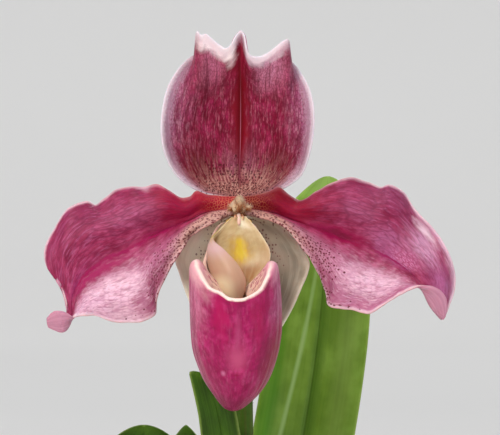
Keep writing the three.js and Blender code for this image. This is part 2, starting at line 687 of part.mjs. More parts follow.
function pouch() {
  const toe = pouchSections[0][0];
  const grid = [];
  for (let k = 0; k < pouchAround; k += 1) {
    const angle = (2 * Math.PI * k) / pouchAround - Math.PI;
    const degrees = Math.abs(THREE.MathUtils.radToDeg(angle));
    const rim = lookup(pouchRim, angle < 0 ? 1 : 2, degrees);
    const lobe = lookup(pouchRim, 3, degrees);
    const outward = new THREE.Vector3(Math.sin(angle), -Math.cos(angle), 0);
    const wallAt = (height) => {
      const section = [1, 2, 3, 4, 5].map((column) => lookup(pouchSections, column, height));
      const [cx, cy, half, forward, back] = section;
      const depth = degrees < 90 ? forward : back;
      const radius = (half * depth) / Math.hypot(depth * outward.x, half * outward.y);
      return new THREE.Vector3(cx, cy, height).addScaledVector(outward, radius);
    };
    const line = [];
    for (let i = 1; i <= pouchWallSteps; i += 1) {
      line.push(wallAt(THREE.MathUtils.lerp(toe, rim, (i / pouchWallSteps) ** 1.35)));
    }
    for (let i = 1; i <= pouchLobeSteps; i += 1) {
      const t = i / pouchLobeSteps;
      const point = wallAt(rim).addScaledVector(outward, -lobe * t);
      point.z += pouchLobeRise * t - lobe * pouchLobeSag * t * t;
      line.push(point);
    }
    grid.push(line);
  }
  const [, toeX, toeY] = pouchSections[0];
  return cup(flowerGrid(grid), setBack(new THREE.Vector3(toeX, toeY, toe)), pouchThickness);
}

// A thin cup from a grid of lines that start round the toe and end at the free rim.
function cup(grid, toe, thick) {
  const around = grid.length;
  const steps = grid[0].length;
  const positions = [];
  const outer = [];
  const inner = [];
  for (let k = 0; k < around; k += 1) {
    outer.push([]);
    inner.push([]);
    for (let i = 0; i < steps; i += 1) {
      const above = grid[k][Math.min(i + 1, steps - 1)];
      const below = grid[k][Math.max(i - 1, 0)];
      const after = grid[(k + 1) % around][i];
      const before = grid[(k + around - 1) % around][i];
      const up = new THREE.Vector3().subVectors(above, below);
      const round = new THREE.Vector3().subVectors(after, before);
      const normal = up.cross(round).normalize().multiplyScalar(thick / 2);
      outer[k].push(positions.push(grid[k][i].clone().sub(normal)) - 1);
      inner[k].push(positions.push(grid[k][i].clone().add(normal)) - 1);
    }
  }
  const outerToe = positions.push(toe.clone().add(new THREE.Vector3(0, 0, -thick / 2))) - 1;
  const innerToe = positions.push(toe.clone().add(new THREE.Vector3(0, 0, thick))) - 1;
  const faces = [];
  for (let k = 0; k < around; k += 1) {
    const next = (k + 1) % around;
    faces.push([outerToe, outer[next][0], outer[k][0]], [innerToe, inner[k][0], inner[next][0]]);
    for (let i = 0; i < steps - 1; i += 1) {
      quad(faces, outer[k][i], outer[next][i], outer[next][i + 1], outer[k][i + 1]);
      quad(faces, inner[k][i], inner[k][i + 1], inner[next][i + 1], inner[next][i]);
    }
    quad(faces, outer[k][steps - 1], outer[next][steps - 1], inner[next][steps - 1], inner[k][steps - 1]);
  }
  return body(positions, faces);
}

const columnPath = [[0, 2.4, 0.6], [0, 0, 1], [0.2, -4, 1.4], [0.3, -8.2, 0.8]];
const columnRadii = [[1.5, 1.5], [1.9, 2], [2.2, 1.8], [1.6, 1.4]];
const knobCentre = [0.35, -6, 1.3];
const knobRadii = [1.9, 2.7, 2.4];
const stigmaCentre = [0.2, -5, -2.6];
const stigmaRadii = [2.6, 2.4, 0.9];
const neckCentre = [0.2, -4.6, -1.2];
const neckRadius = 1;
const neckHeight = 3;
const polliniumCentre = [0.2, -7.9, -2.9];
const polliniumApart = 2.5;
const polliniumRadii = [0.85, 0.95, 1.05];

function ellipsoid(centre, radii, around, up) {
  return new THREE.SphereGeometry(1, around, up).scale(...radii).translate(...centre);
}

function column() {
  const trunk = stalk(columnPath, columnRadii, { along: 8, around: 12 });
  const knob = ellipsoid(knobCentre, knobRadii, 14, 10);
  const stigma = ellipsoid(stigmaCentre, stigmaRadii, 12, 8);
  const neck = new THREE.CylinderGeometry(neckRadius, neckRadius, neckHeight, 10);
  neck.rotateX(Math.PI / 2).translate(...neckCentre);
  const parts = [trunk, knob, neck, stigma].map(toManifold);
  return fromManifold(parts.reduce((whole, part) => whole.add(part)));
}

function pollinium(side) {
  const [x, y, z] = polliniumCentre;
  return ellipsoid([x + side * polliniumApart, y, z], polliniumRadii, 10, 8);
}

// ---- assembly ----

const leafGreen = material(0x5f9a32, 0.45);
const stalkGreen = material(0x6d8f45, 0.6);
const terracotta = material(0xb5663f, 0.85);
const bark = material(0x5b3a24, 0.95);
const rose = material(0xb8406f, 0.55);
const palePink = material(0xc9a9a0, 0.55);
const magenta = material(0xb62a63, 0.5);
const cream = material(0xd9ba85, 0.45);
const tan = material(0xc98a55, 0.6);
const pollen = material(0xd9b34a, 0.4);

const flower = new THREE.Group();
flower.position.set(0, flowerY, flowerZ);
flower.add(node('dorsal_sepal', dorsalSepal(), rose));
flower.add(node('synsepal', sheet(flowerGrid(gridOn(synsepalRails, 16, 12)), tepal), palePink));
flower.add(node('petal_left', sheet(flowerGrid(gridOn(petalLeftRails, 32, 12)), tepal), rose));
flower.add(node('petal_right', sheet(flowerGrid(gridOn(petalRightRails, 32, 12)), tepal), rose));
flower.add(node('pouch', pouch(), magenta));
flower.add(node('staminode', sheet(flowerGrid(gridOn(staminodeRails, 12, 14)), shield), cream));
flower.add(node('column', column(), tan));
flower.add(node('pollinium_left', pollinium(-1), pollen));
flower.add(node('pollinium_right', pollinium(1), pollen));

const plant = new THREE.Group();
plant.add(node('crown', crown(), stalkGreen));
for (const [name, spec] of Object.entries(leafSpecs)) {
  plant.add(node(name, leaf(spec), leafGreen));
}
const scapeSize = [scapeRadius * 1.1, scapeRadius, scapeRadius].map((radius) => [radius, radius]);
const ovarySize = [2.2, ovaryRadius, 2.5, 3.8].map((radius) => [radius, radius]);
plant.add(node('scape', stalk(scapePath, scapeSize, { along: 14, around: 10 }), stalkGreen));
plant.add(node('bract', bract(), stalkGreen));
plant.add(node('ovary', stalk(ovaryPath, ovarySize, { along: 10, around: 12 }), stalkGreen));
plant.add(flower);

const orchid = new THREE.Group();
orchid.name = 'potted_slipper_orchid';
orchid.add(node('pot', pot(), terracotta));
orchid.add(node('potting_mix', pottingMix(), bark));
orchid.add(plant);

export default orchid;
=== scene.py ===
import math

import bmesh
import bpy
import numpy as np
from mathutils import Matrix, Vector


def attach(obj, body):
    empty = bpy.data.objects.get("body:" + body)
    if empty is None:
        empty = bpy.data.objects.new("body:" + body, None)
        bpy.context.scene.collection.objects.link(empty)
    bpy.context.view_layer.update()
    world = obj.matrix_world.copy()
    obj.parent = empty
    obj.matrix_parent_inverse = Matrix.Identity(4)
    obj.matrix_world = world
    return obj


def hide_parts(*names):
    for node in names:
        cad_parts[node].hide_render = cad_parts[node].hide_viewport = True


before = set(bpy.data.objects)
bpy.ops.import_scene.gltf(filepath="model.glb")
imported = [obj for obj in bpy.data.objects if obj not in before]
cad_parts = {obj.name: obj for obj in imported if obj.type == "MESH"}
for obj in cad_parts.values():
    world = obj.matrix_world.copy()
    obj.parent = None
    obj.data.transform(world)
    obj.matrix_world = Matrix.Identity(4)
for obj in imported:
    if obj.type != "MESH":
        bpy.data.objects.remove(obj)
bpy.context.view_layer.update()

# A slipper orchid in flower in a terracotta pot. Lengths are millimetres until a mesh is made.
mm = 0.001
flowerAt = np.array([0.0, -20.0, 220.0])   # the flower's own origin, at the column
eye = {"x": 3.0, "z": 218.6, "away": 1000.0}   # camera axis, and its distance from the flower's plane


def linear(hexColour, alpha=1.0):
    channels = [int(hexColour[i:i + 2], 16) / 255 for i in (1, 3, 5)]
    return tuple(c / 12.92 if c <= 0.04045 else ((c + 0.055) / 1.055) ** 2.4 for c in channels) + (alpha,)


# Adds one shader node: settings are its properties and unlinked sockets, links feed its other sockets.
def add(tree, kind, settings=None, links=None, take=0):
    node = tree.nodes.new("ShaderNode" + kind)
    for key, value in (settings or {}).items():
        if key == "stops":
            ramp = node.color_ramp
            while len(ramp.elements) < len(value):
                ramp.elements.new(0.5)
            for element, (place, tint) in zip(ramp.elements, value):
                element.position = place
                element.color = linear(tint)
        elif isinstance(key, str) and hasattr(node, key):
            setattr(node, key, value)
        else:
            node.inputs[key].default_value = value
    for key, source in (links or {}).items():
        tree.links.new(source, node.inputs[key])
    return node.outputs[take] if len(node.outputs) else node


def emptyMaterial(name):
    material = bpy.data.materials.new(name)
    material.use_nodes = True
    material.node_tree.nodes.clear()
    return material, material.node_tree


# Principled shader with a bump from one height socket, its depth in millimetres.
def finish(tree, surface, links, height=None, depth=0.1):
    if height is not None:
        links["Normal"] = add(tree, "Bump", {"Strength": 1.0, "Distance": depth * mm}, {"Height": height})
    shader = add(tree, "BsdfPrincipled", surface, links)
    add(tree, "OutputMaterial", {}, {"Surface": shader})


def unit(vectors):
    return vectors / np.maximum(np.linalg.norm(vectors, axis=-1, keepdims=True), 1e-9)


# A smooth line through rows of points [..., count, axes], read at stations from 0 to 1.
def smoothThrough(points, stations):
    points = np.asarray(points, float)
    first = 2 * points[..., :1, :] - points[..., 1:2, :]
    last = 2 * points[..., -1:, :] - points[..., -2:-1, :]
    padded = np.concatenate([first, points, last], axis=-2)
    spans = np.sqrt(np.linalg.norm(np.diff(padded, axis=-2), axis=-1))
    spans = np.where(spans < 1e-4, 1.0, spans)[..., None]
    reach = np.asarray(stations, float) * (points.shape[-2] - 1)
    low = np.clip(reach.astype(int), 0, points.shape[-2] - 2)
    part = (reach - low)[:, None]
    p0, p1, p2, p3 = (padded[..., low + k, :] for k in range(4))
    d0, d1, d2 = (spans[..., low + k, :] for k in range(3))
    out = ((p1 - p0) / d0 - (p2 - p0) / (d0 + d1) + (p2 - p1) / d1) * d1
    into = ((p2 - p1) / d1 - (p3 - p1) / (d1 + d2) + (p3 - p2) / d2) * d1
    bend = 3 * (p2 - p1) - 2 * out - into
    return p1 + out * part + bend * part ** 2 + (2 * (p1 - p2) + out + into) * part ** 3


def smoothStep(low, high, value):
    t = np.clip((np.asarray(value, float) - low) / (high - low), 0, 1)
    return t * t * (3 - 2 * t)


# Soft seeded unevenness between -1 and 1 over two coordinates, one wave per unit of them.
def ripple(x, y, seed, waves=9):
    draw = np.random.default_rng(seed)
    total = np.zeros(np.broadcast(x, y).shape)
    for _ in range(waves):
        angle = draw.uniform(0, 2 * np.pi)
        pitch = draw.uniform(0.6, 1.7)
        phase = draw.uniform(0, 2 * np.pi)
        total += np.sin(2 * np.pi * pitch * (x * np.cos(angle) + y * np.sin(angle)) + phase)
    return total / np.sqrt(waves * 2)


# Stations from 0 to 1 that crowd together at the ends, where a margin is rounded.
def crowded(count, lip=(0.004, 0.013, 0.028), start=True, end=True):
    middle = np.linspace(0.05 if start else 0, 0.95 if end else 1, count)
    head = [0, *lip] if start else []
    tail = [1 - step for step in reversed(lip)] + [1] if end else []
    return np.concatenate([head, middle, tail])


# Rails run from a sheet's base to its tip; each may have its own number of points.
def gridOn(rails, alongAt, acrossAt):
    lines = np.stack([smoothThrough(rail, alongAt) for rail in rails], axis=1)
    return smoothThrough(lines, acrossAt)


# Points drawn as they are seen from the camera's side, set back to their true place in depth.
def setBack(points):
    seen = np.array(points, float)
    scale = 1 + seen[..., 1] / eye["away"]
    seen[..., 0] = eye["x"] + (seen[..., 0] - eye["x"]) * scale
    level = eye["z"] - flowerAt[2]
    seen[..., 2] = level + (seen[..., 2] - level) * scale
    return seen


def arcs(grid, axis):
    steps = np.linalg.norm(np.diff(grid, axis=axis), axis=-1)
    lead = np.zeros_like(np.take(steps, [0], axis=axis))
    return np.concatenate([lead, np.cumsum(steps, axis=axis)], axis=axis)


def gridNormals(grid, toward):
    normals = unit(np.cross(np.gradient(grid, axis=1), np.gradient(grid, axis=0)))
    return normals * (1 if (normals @ np.array(toward, float)).mean() > 0 else -1)


def makeObject(name, points, faces, fields=None, materials=(), bands=None):
    mesh = bpy.data.meshes.new(name)
    mesh.from_pydata((np.asarray(points) * mm).tolist(), [], faces)
    for field, values in (fields or {}).items():
        attribute = mesh.attributes.new(field, "FLOAT_VECTOR", "POINT")
        attribute.data.foreach_set("vector", np.asarray(values, np.float32).ravel())
    for material in materials:
        mesh.materials.append(material)
    if bands is not None:
        mesh.polygons.foreach_set("material_index", bands)
    mesh.shade_smooth()
    piece = bpy.data.objects.new(name, mesh)
    bpy.context.scene.collection.objects.link(piece)
    return piece


# Every piece of the plant and pot hangs under the root body and hides the CAD nodes that it stands for.
def stand(piece, nodes):
    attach(piece, "root")
    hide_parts(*nodes)
    return piece


def faceOut(faces, points):
    tris = np.array([[f[0], f[1], f[2]] for f in faces] + [[f[0], f[2], f[3]] for f in faces if len(f) == 4])
    a, b, c = (points[tris[:, k]] for k in range(3))
    if np.einsum("ij,ij->i", a, np.cross(b, c)).sum() < 0:
        return [f[::-1] for f in faces]
    return faces


# One closed living sheet from a grid of its middle surface: two skins that meet in a rounded margin.
def closedSheet(name, grid, share, look, toward=(0, -1, 0), offset=(0, 0, 0)):
    rows, columns = grid.shape[:2]
    normals = gridNormals(grid, toward)
    across = arcs(grid, 1)
    along = arcs(grid, 0)
    middle = np.argmin(np.abs(share[rows // 2, :, 1]))
    fromLeft = across
    fromRight = across[:, -1:] - across
    fromTip = along[-1:, :] - along
    margin = np.minimum(np.minimum(fromLeft, fromRight), fromTip)
    half = look["thick"] / 2 * (1 - look.get("thin", 0.35) * np.exp(-margin / look.get("thinning", 2.5)))
    lip = np.minimum(margin, along)
    round_ = np.clip(lip / half.max(), 0, 1)
    half = half * np.sqrt(1 - (1 - round_) ** 2)
    place = np.stack([np.repeat(along[:, middle:middle + 1], columns, 1),
                      across - across[:, middle:middle + 1], margin], axis=-1)
    front = grid + normals * half[..., None]
    back = (grid - normals * half[..., None])[1:-1, 1:-1]
    index = np.arange(rows * columns).reshape(rows, columns)
    backIndex = index.copy()
    backIndex[1:-1, 1:-1] = rows * columns + np.arange((rows - 2) * (columns - 2)).reshape(rows - 2, columns - 2)
    faces = []
    for table, turn in ((index, 1), (backIndex, -1)):
        quads = np.stack([table[:-1, :-1], table[:-1, 1:], table[1:, 1:], table[1:, :-1]], axis=-1).reshape(-1, 4)
        faces += quads[:, ::turn].tolist()
    side = np.ones((rows, columns))
    side[0, :] = side[-1, :] = side[:, 0] = side[:, -1] = 0
    frontShare = np.concatenate([share, side[..., None]], axis=-1)
    backShare = np.concatenate([share, -side[..., None]], axis=-1)[1:-1, 1:-1]
    points = np.concatenate([front.reshape(-1, 3), back.reshape(-1, 3)]) + np.array(offset, float)
    fields = {
        "place": np.concatenate([place.reshape(-1, 3), place[1:-1, 1:-1].reshape(-1, 3)]),
        "share": np.concatenate([frontShare.reshape(-1, 3), backShare.reshape(-1, 3)]),
    }
    return makeObject(name, points, faceOut(faces, points), fields, [look["skin"]])


# A soft oval patch on a sheet: 1 at its centre, 0 outside its reach, both in shares of the sheet.
def patch(tree, share, centre, reach):
    away = add(tree, "VectorMath", {"operation": "SUBTRACT", 1: (*centre, 0)}, {0: share})
    scaled = add(tree, "VectorMath", {"operation": "DIVIDE", 1: (*reach, 1e4)}, {0: away})
    far = add(tree, "VectorMath", {"operation": "LENGTH"}, {0: scaled}, "Value")
    return add(tree, "MapRange", {"interpolation_type": "SMOOTHSTEP", "From Min": 1.0, "From Max": 0.0}, {"Value": far})


# Lays soft patches of pigment, some of them painted highlight and some painted shade instead: (centre, reach, tint,
# amount) each;
# an amount above 1 gives a firmer edge, and a fifth value slants the patch: how far it shifts across while it runs
# along.
def stained(tree, colour, share, stains):
    for centre, reach, tint, amount, *slant in stains:
        where = share
        if slant:
            across = add(tree, "VectorMath", {"operation": "DOT_PRODUCT", 1: (-slant[0], 1, 0)}, {0: share}, "Value")
            across = add(tree, "Math", {"operation": "ADD", 1: slant[0] * centre[0]}, {0: across})
            along = add(tree, "SeparateXYZ", {}, {0: share}, "X")
            where = add(tree, "CombineXYZ", {}, {0: along, 1: across})
        area = patch(tree, where, centre, reach)
        part = add(tree, "Math", {"operation": "MULTIPLY", 1: amount}, {0: area})
        colour = add(tree, "Mix", {"data_type": "RGBA", 7: linear(tint)}, {0: part, 6: colour}, 2)
    return colour


# Keeps a mask only inside some soft patches.
def within(tree, share, mask, areas):
    for centre, reach in areas:
        area = patch(tree, share, centre, reach)
        mask = add(tree, "Math", {"operation": "MULTIPLY"}, {0: mask, 1: area})
    return mask


# Petal, sepal or leaf: a thin waxy skin over wet cells, so it shines softly and light glows through it.
# Pigment lies in soft patches, in veins from base to tip, in a net between the veins and in dots; some patches are
# painted highlight and painted shade instead.
def livingSkin(name, look):
    material, tree = emptyMaterial(name)
    place = add(tree, "Attribute", {"attribute_name": "place"}, take="Vector")
    share = add(tree, "Attribute", {"attribute_name": "share"}, take="Vector")
    margin = add(tree, "SeparateXYZ", {}, {0: place}, "Z")
    side = add(tree, "SeparateXYZ", {}, {0: share}, "Z")

    clouds = add(tree, "TexNoise", {"Scale": 1 / look.get("cloud", 5.0), "Detail": 3.0}, {"Vector": place})
    tones = [(0.35 + 0.3 * k / (len(look["body"]) - 1), tone) for k, tone in enumerate(look["body"])]
    colour = add(tree, "ValToRGB", {"stops": tones}, {0: clouds})

    drift = look.get("drift", 0.12)
    wander = add(tree, "TexNoise", {"Scale": 0.22, "Detail": 4.0, "Roughness": 0.6}, {"Vector": place}, "Color")
    shift = {"operation": "MULTIPLY_ADD", 1: (drift, drift * 2, 0), 2: (-drift / 2, -drift, 0)}
    push = add(tree, "VectorMath", shift, {0: wander})
    loose = add(tree, "VectorMath", {"operation": "ADD"}, {0: share, 1: push})
    colour = stained(tree, colour, loose, look.get("patches", ()))

    height = None
    for vein in look.get("veins", ()):   # streaks that run from base to tip
        run = add(tree, "VectorMath", {"operation": "MULTIPLY", 1: (*vein["count"], 0.7)}, {0: share})
        run = add(tree, "VectorMath", {"operation": "ADD", 1: (vein.get("seed", 0), 0, 0)}, {0: run})
        noise = add(tree, "TexNoise", {"Scale": 1.0, "Detail": 3.0, "Roughness": 0.55, "Distortion": 0.25}, {"Vector": run})
        spread = {"From Min": vein["from"], "From Max": vein["to"], "To Max": vein["amount"]}
        mask = add(tree, "MapRange", spread, {"Value": noise})
        mask = within(tree, loose, mask, vein.get("where", ()))
        mode = {"data_type": "RGBA", "blend_type": vein.get("mode", "MIX"), 7: linear(vein["tint"])}
        colour = add(tree, "Mix", mode, {0: mask, 6: colour}, 2)
        height = noise

    for net in look.get("nets", ()):   # cross veins that close the streaks into a net
        run = add(tree, "VectorMath", {"operation": "MULTIPLY", 1: (*net["count"], 0)}, {0: share})
        bent = add(tree, "VectorMath", {"operation": "MULTIPLY_ADD", 1: (0.5, 0.5, 0)}, {0: wander, 2: run})
        cells = {"voronoi_dimensions": "2D", "feature": "DISTANCE_TO_EDGE", "Scale": 1.0}
        edge = add(tree, "TexVoronoi", cells, {"Vector": bent}, "Distance")
        line = {"interpolation_type": "SMOOTHSTEP", "From Min": net["wide"], "From Max": 0.0, "To Max": net["amount"]}
        mask = add(tree, "MapRange", line, {"Value": edge})
        mask = within(tree, loose, mask, net.get("where", ()))
        mode = {"data_type": "RGBA", "blend_type": net.get("mode", "MIX"), 7: linear(net["tint"])}
        colour = add(tree, "Mix", mode, {0: mask, 6: colour}, 2)

    # the over marks: pigment so dense that it hides the net, and on the petals also painted highlights
    colour = stained(tree, colour, loose, look.get("over", ()))   # pigment so dense that it hides the net
    colour = stained(tree, colour, share, look.get("lines", ()))

    for rim in look.get("rims", ()):   # the margin is drained of pigment
        ragged = add(tree, "TexNoise", {"Scale": rim.get("fine", 0.9), "Detail": 3.0}, {"Vector": place})
        near = add(tree, "Math", {"operation": "MULTIPLY_ADD", 1: -rim["ragged"]}, {0: ragged, 2: margin})
        fade = {"interpolation_type": "SMOOTHSTEP", "From Min": rim["wide"], "From Max": -0.2, "To Max": rim["amount"]}
        mask = add(tree, "MapRange", fade, {"Value": near})
        mask = within(tree, loose, mask, rim.get("where", ()))
        colour = add(tree, "Mix", {"data_type": "RGBA", 7: linear(rim["tint"])}, {0: mask, 6: colour}, 2)

    for spots in look.get("spots", ()):
        stretch = (1 / spots["apart"][0], 1 / spots["apart"][1], 0)
        run = add(tree, "VectorMath", {"operation": "MULTIPLY", 1: stretch}, {0: place})
        cells = {"voronoi_dimensions": "2D", "Scale": 1.0, "Randomness": 0.85}
        centreFar = add(tree, "TexVoronoi", cells, {"Vector": run}, "Distance")
        draw = add(tree, "TexVoronoi", cells, {"Vector": run}, "Color")
        chance = add(tree, "SeparateXYZ", {}, {0: draw}, "X")
        grow = add(tree, "SeparateXYZ", {}, {0: draw}, "Y")
        edge = add(tree, "Math", {"operation": "MULTIPLY_ADD", 1: -spots["wide"] * 0.6}, {0: grow, 2: centreFar})
        soft = {"From Min": spots["wide"] * 0.75, "From Max": spots["wide"] * 0.35, "To Max": spots["amount"]}
        dot = add(tree, "MapRange", soft, {"Value": edge})
        area = None
        for centre, reach, amount in spots["where"]:
            one = patch(tree, loose, centre, reach)
            one = add(tree, "Math", {"operation": "MULTIPLY", 1: amount}, {0: one})
            area = one if area is None else add(tree, "Math", {"operation": "MAXIMUM"}, {0: area, 1: one})
        kept = add(tree, "Math", {"operation": "LESS_THAN"}, {0: chance, 1: area})
        mask = add(tree, "Math", {"operation": "MULTIPLY"}, {0: dot, 1: kept})
        colour = add(tree, "Mix", {"data_type": "RGBA", 7: linear(spots["tint"])}, {0: mask, 6: colour}, 2)

    if "reverse" in look:   # the back of the sheet is paler, with the veins showing through
        back = look["reverse"]
        run = add(tree, "VectorMath", {"operation": "MULTIPLY", 1: (*back["count"], 0)}, {0: share})
        noise = add(tree, "TexNoise", {"Scale": 1.0, "Detail": 3.0}, {"Vector": run})
        behind = add(tree, "ValToRGB", {"stops": [(0.35, back["tones"][0]), (0.65, back["tones"][1])]}, {0: noise})
        behind = stained(tree, behind, share, back.get("patches", ()))
        flip = add(tree, "MapRange", {"From Min": 0.15, "From Max": -0.15}, {"Value": side})
        colour = add(tree, "Mix", {"data_type": "RGBA"}, {0: flip, 6: colour, 7: behind}, 2)

    # cells about 0.2 mm across sparkle on a petal; drawn as coarse as they can show
    grainSize = look.get("grain", 0.3)
    grain = add(tree, "TexNoise", {"Scale": 1 / grainSize, "Detail": 2.0}, {"Vector": place})
    if height is not None:
        grain = add(tree, "Math", {"operation": "MULTIPLY_ADD", 1: look.get("ridge", 1.5)}, {0: height, 2: grain})
    surface = {
        "Roughness": look.get("roughness", 0.45), "IOR": 1.42, "Specular IOR Level": look.get("shine", 0.45),
        "Subsurface Weight": look.get("glow", 0.25), "Subsurface Radius": (1.0, 0.4, 0.3), "Subsurface Scale": 0.0012,
        "Sheen Weight": look.get("sheen", 0.1), "Sheen Roughness": 0.4,
        "Coat Weight": look.get("coat", 0.0), "Coat Roughness": 0.25,
    }
    finish(tree, surface, {"Base Color": colour}, grain, look.get("bump", 0.06))
    return material


# Shares of a grid: how far each point is from base to tip, and from one margin (-1) to the other (1).
def gridShare(alongAt, acrossAt, railAt):
    across = np.interp(acrossAt, np.linspace(0, 1, len(railAt)), railAt)
    return np.stack(np.meshgrid(alongAt, across, indexing="ij"), axis=-1)


# Rails from base to tip in the flower's frame: left margin, the fold behind the corner, the corner
# crease, half way, midrib, and the same again to the right.

dorsal = {
    "rails": [
        [[-1.8, 2.4, 3.4], [-9.2, 3.2, 4.9], [-15.4, 1.7, 9], [-18.7, 0.5, 15.6], [-19.3, 0.5, 23],
         [-17.6, 2.5, 31.4], [-13.4, 5.5, 37.6], [-10, 7.5, 39.6]],
        [[-1.5, 2.4, 3.5], [-7.8, 4.1, 5.2], [-13.2, 3.4, 9.4], [-15.8, 3, 16], [-16, 2.6, 23],
         [-14.4, 3.6, 30.8], [-11.7, 5, 36.6], [-9.2, 5.5, 40]],
        [[-1.2, 2.4, 3.6], [-6.4, 4.4, 5.4], [-10.3, 4.7, 9.6], [-12.2, 4.7, 16.1], [-12.3, 4, 23],
         [-10.9, 2.6, 30.4], [-10.3, 1.6, 37.4], [-10.1, 0.8, 45.2]],
        [[-0.6, 2.4, 3.6], [-3.2, 4.8, 5.6], [-5.2, 6.5, 9.8], [-6, 7.5, 16], [-6.2, 7.2, 23],
         [-5.6, 5.6, 30.4], [-4.6, 3.4, 36.5], [-3.1, 1.5, 41]],
        [[0, 2.4, 3.6], [0.2, 5, 5.8], [0.4, 7.2, 9.8], [0.6, 8.8, 16], [0.7, 8.6, 23],
         [0.7, 6.6, 30.4], [0.7, 3.2, 37.5], [0.7, -0.8, 45.2]],
        [[0.6, 2.4, 3.6], [3.3, 4.8, 5.6], [5.4, 6.5, 9.8], [6.2, 7.5, 16], [6.6, 7.2, 23],
         [6.4, 5.6, 30.2], [5.7, 3.4, 35], [4.6, 1.5, 39]],
        [[1.2, 2.4, 3.6], [6.2, 4.4, 5.4], [10.3, 4.7, 9.6], [12, 4.7, 16.1], [12.5, 4, 23],
         [12.4, 2.6, 30], [12.6, 1.6, 36.4], [12.4, 0.8, 43.2]],
        [[1.5, 2.4, 3.5], [7.8, 4.1, 5.2], [13.2, 3.4, 9.4], [15.6, 3, 15.9], [16.2, 2.6, 23.2],
         [15.6, 3.6, 30.2], [13.9, 5, 35.4], [11.6, 5.5, 38.4]],
        [[1.8, 2.4, 3.4], [9.4, 3.2, 4.9], [15.6, 1.7, 8.8], [18.2, 0.5, 15.4], [19.2, 0.5, 24],
         [18.1, 2.5, 30.4], [15, 5.5, 35.9], [12.3, 7.5, 38.4]],
    ],
    "railAt": [-1, -0.83, -0.67, -0.33, 0, 0.33, 0.67, 0.83, 1],
    # the scalloped top edge between the corners: share across, x, height
    "topEdge": [[-0.67, -10.1, 45.3], [-0.6, -9.1, 44.3], [-0.54, -8.2, 44.6], [-0.43, -6, 43],
                [-0.33, -4.4, 41.7], [-0.22, -3, 41], [-0.14, -1.8, 42], [-0.06, -0.5, 44.3], [0.0, 0.7, 45.4],
                [0.05, 1.6, 44.4], [0.1, 2.1, 41.6], [0.17, 3, 39.3], [0.28, 5.1, 38.9], [0.4, 7.5, 39.9],
                [0.53, 9.7, 41.6], [0.61, 11.2, 42.8], [0.67, 12.4, 43.3]],
    "edgeFrom": 0.74,
    "thick": 0.9, "cloud": 3.0,
    "body": ["#6e0024", "#840a34", "#9c204e"],
    "patches": [
        ((0.66, -0.95), (0.5, 0.42), "#944468", 1.3), ((0.66, 0.95), (0.5, 0.42), "#98486e", 1.3),
        ((0.86, -0.42), (0.2, 0.34), "#bc6886", 1.0), ((0.86, 0.42), (0.22, 0.36), "#c27896", 1.1),
        ((0.3, -0.6), (0.26, 0.32), "#660012", 1.3), ((0.3, 0.6), (0.26, 0.32), "#680014", 1.3),
        ((0.34, 0.02), (0.2, 0.36), "#85485e", 1.1), ((0.08, 0.0), (0.26, 1.6), "#a4685f", 1.3),
        ((0.24, 0.98), (0.18, 0.22), "#d0b4c4", 1.2), ((0.26, -0.98), (0.18, 0.18), "#d0b4c4", 1.2),
    ],
    "veins": [
        {"count": (5.0, 26.0), "from": 0.5, "to": 0.6, "tint": "#58041a", "amount": 0.5},
        {"count": (22.0, 38.0), "from": 0.5, "to": 0.64, "tint": "#c66e86", "amount": 0.5, "seed": 7.3,
         "where": [((0.62, 0.0), (0.6, 1.9))]},
        {"count": (20.0, 44.0), "from": 0.5, "to": 0.6, "tint": "#ca92a6", "amount": 0.4, "seed": 21.3,
         "where": [((0.6, -0.85), (0.5, 0.4))]},
        {"count": (20.0, 44.0), "from": 0.5, "to": 0.6, "tint": "#ca92a6", "amount": 0.4, "seed": 23.9,
         "where": [((0.6, 0.85), (0.5, 0.4))]},
        {"count": (30.0, 60.0), "from": 0.5, "to": 0.62, "tint": "#52021a", "amount": 0.45, "seed": 3.1},
        {"count": (16.0, 34.0), "from": 0.46, "to": 0.56, "tint": "#d2a294", "amount": 0.85, "seed": 1.7,
         "where": [((0.06, 0.0), (0.4, 1.7))]},
    ],
    "nets": [{"count": (40, 34), "wide": 0.26, "tint": "#5c0620", "amount": 0.42}],
    "over": [
        ((0.62, 0.0), (0.46, 0.19), "#7e001c", 1.5), ((0.3, 0.0), (0.16, 0.06), "#6f1c34", 0.8),
        ((1.0, -0.4), (0.12, 0.5), "#f6e4e6", 1.6), ((1.0, 0.35), (0.1, 0.52), "#f2dce2", 1.6),
        ((1.0, -0.15), (0.18, 0.15), "#faecec", 1.5),
    ],
    "lines": [
        ((0.62, 0.0), (0.42, 0.085), "#6a000e", 1.5), ((0.9, 0.02), (0.16, 0.035), "#86102e", 1.8),
        ((0.5, -0.005), (0.4, 0.013), "#b4657e", 1.1),
    ],
    "spots": [{"apart": (0.85, 0.5), "wide": 0.38, "tint": "#4a0c12", "amount": 0.92,
               "where": [((0.02, 0.0), (0.3, 1.6), 2.0), ((0.24, 0.0), (0.18, 0.9), 0.7)]}],
    "rims": [
        {"wide": 2.2, "ragged": 3.8, "fine": 2.0, "tint": "#b89aae", "amount": 0.8,
         "where": [((0.62, 0.0), (0.66, 2.4))]},
        {"wide": 1.0, "ragged": 1.2, "fine": 1.8, "tint": "#dcd2da", "amount": 0.95,
         "where": [((0.66, 0.0), (0.74, 2.4))]},
        {"wide": 0.4, "ragged": 0.2, "tint": "#e4e0ea", "amount": 0.8},
    ],
    "reverse": {"count": (3, 14), "tones": ("#c79fb0", "#a5677f")},
    "glow": 0.18, "roughness": 0.46, "sheen": 0.02, "shine": 0.2,
}


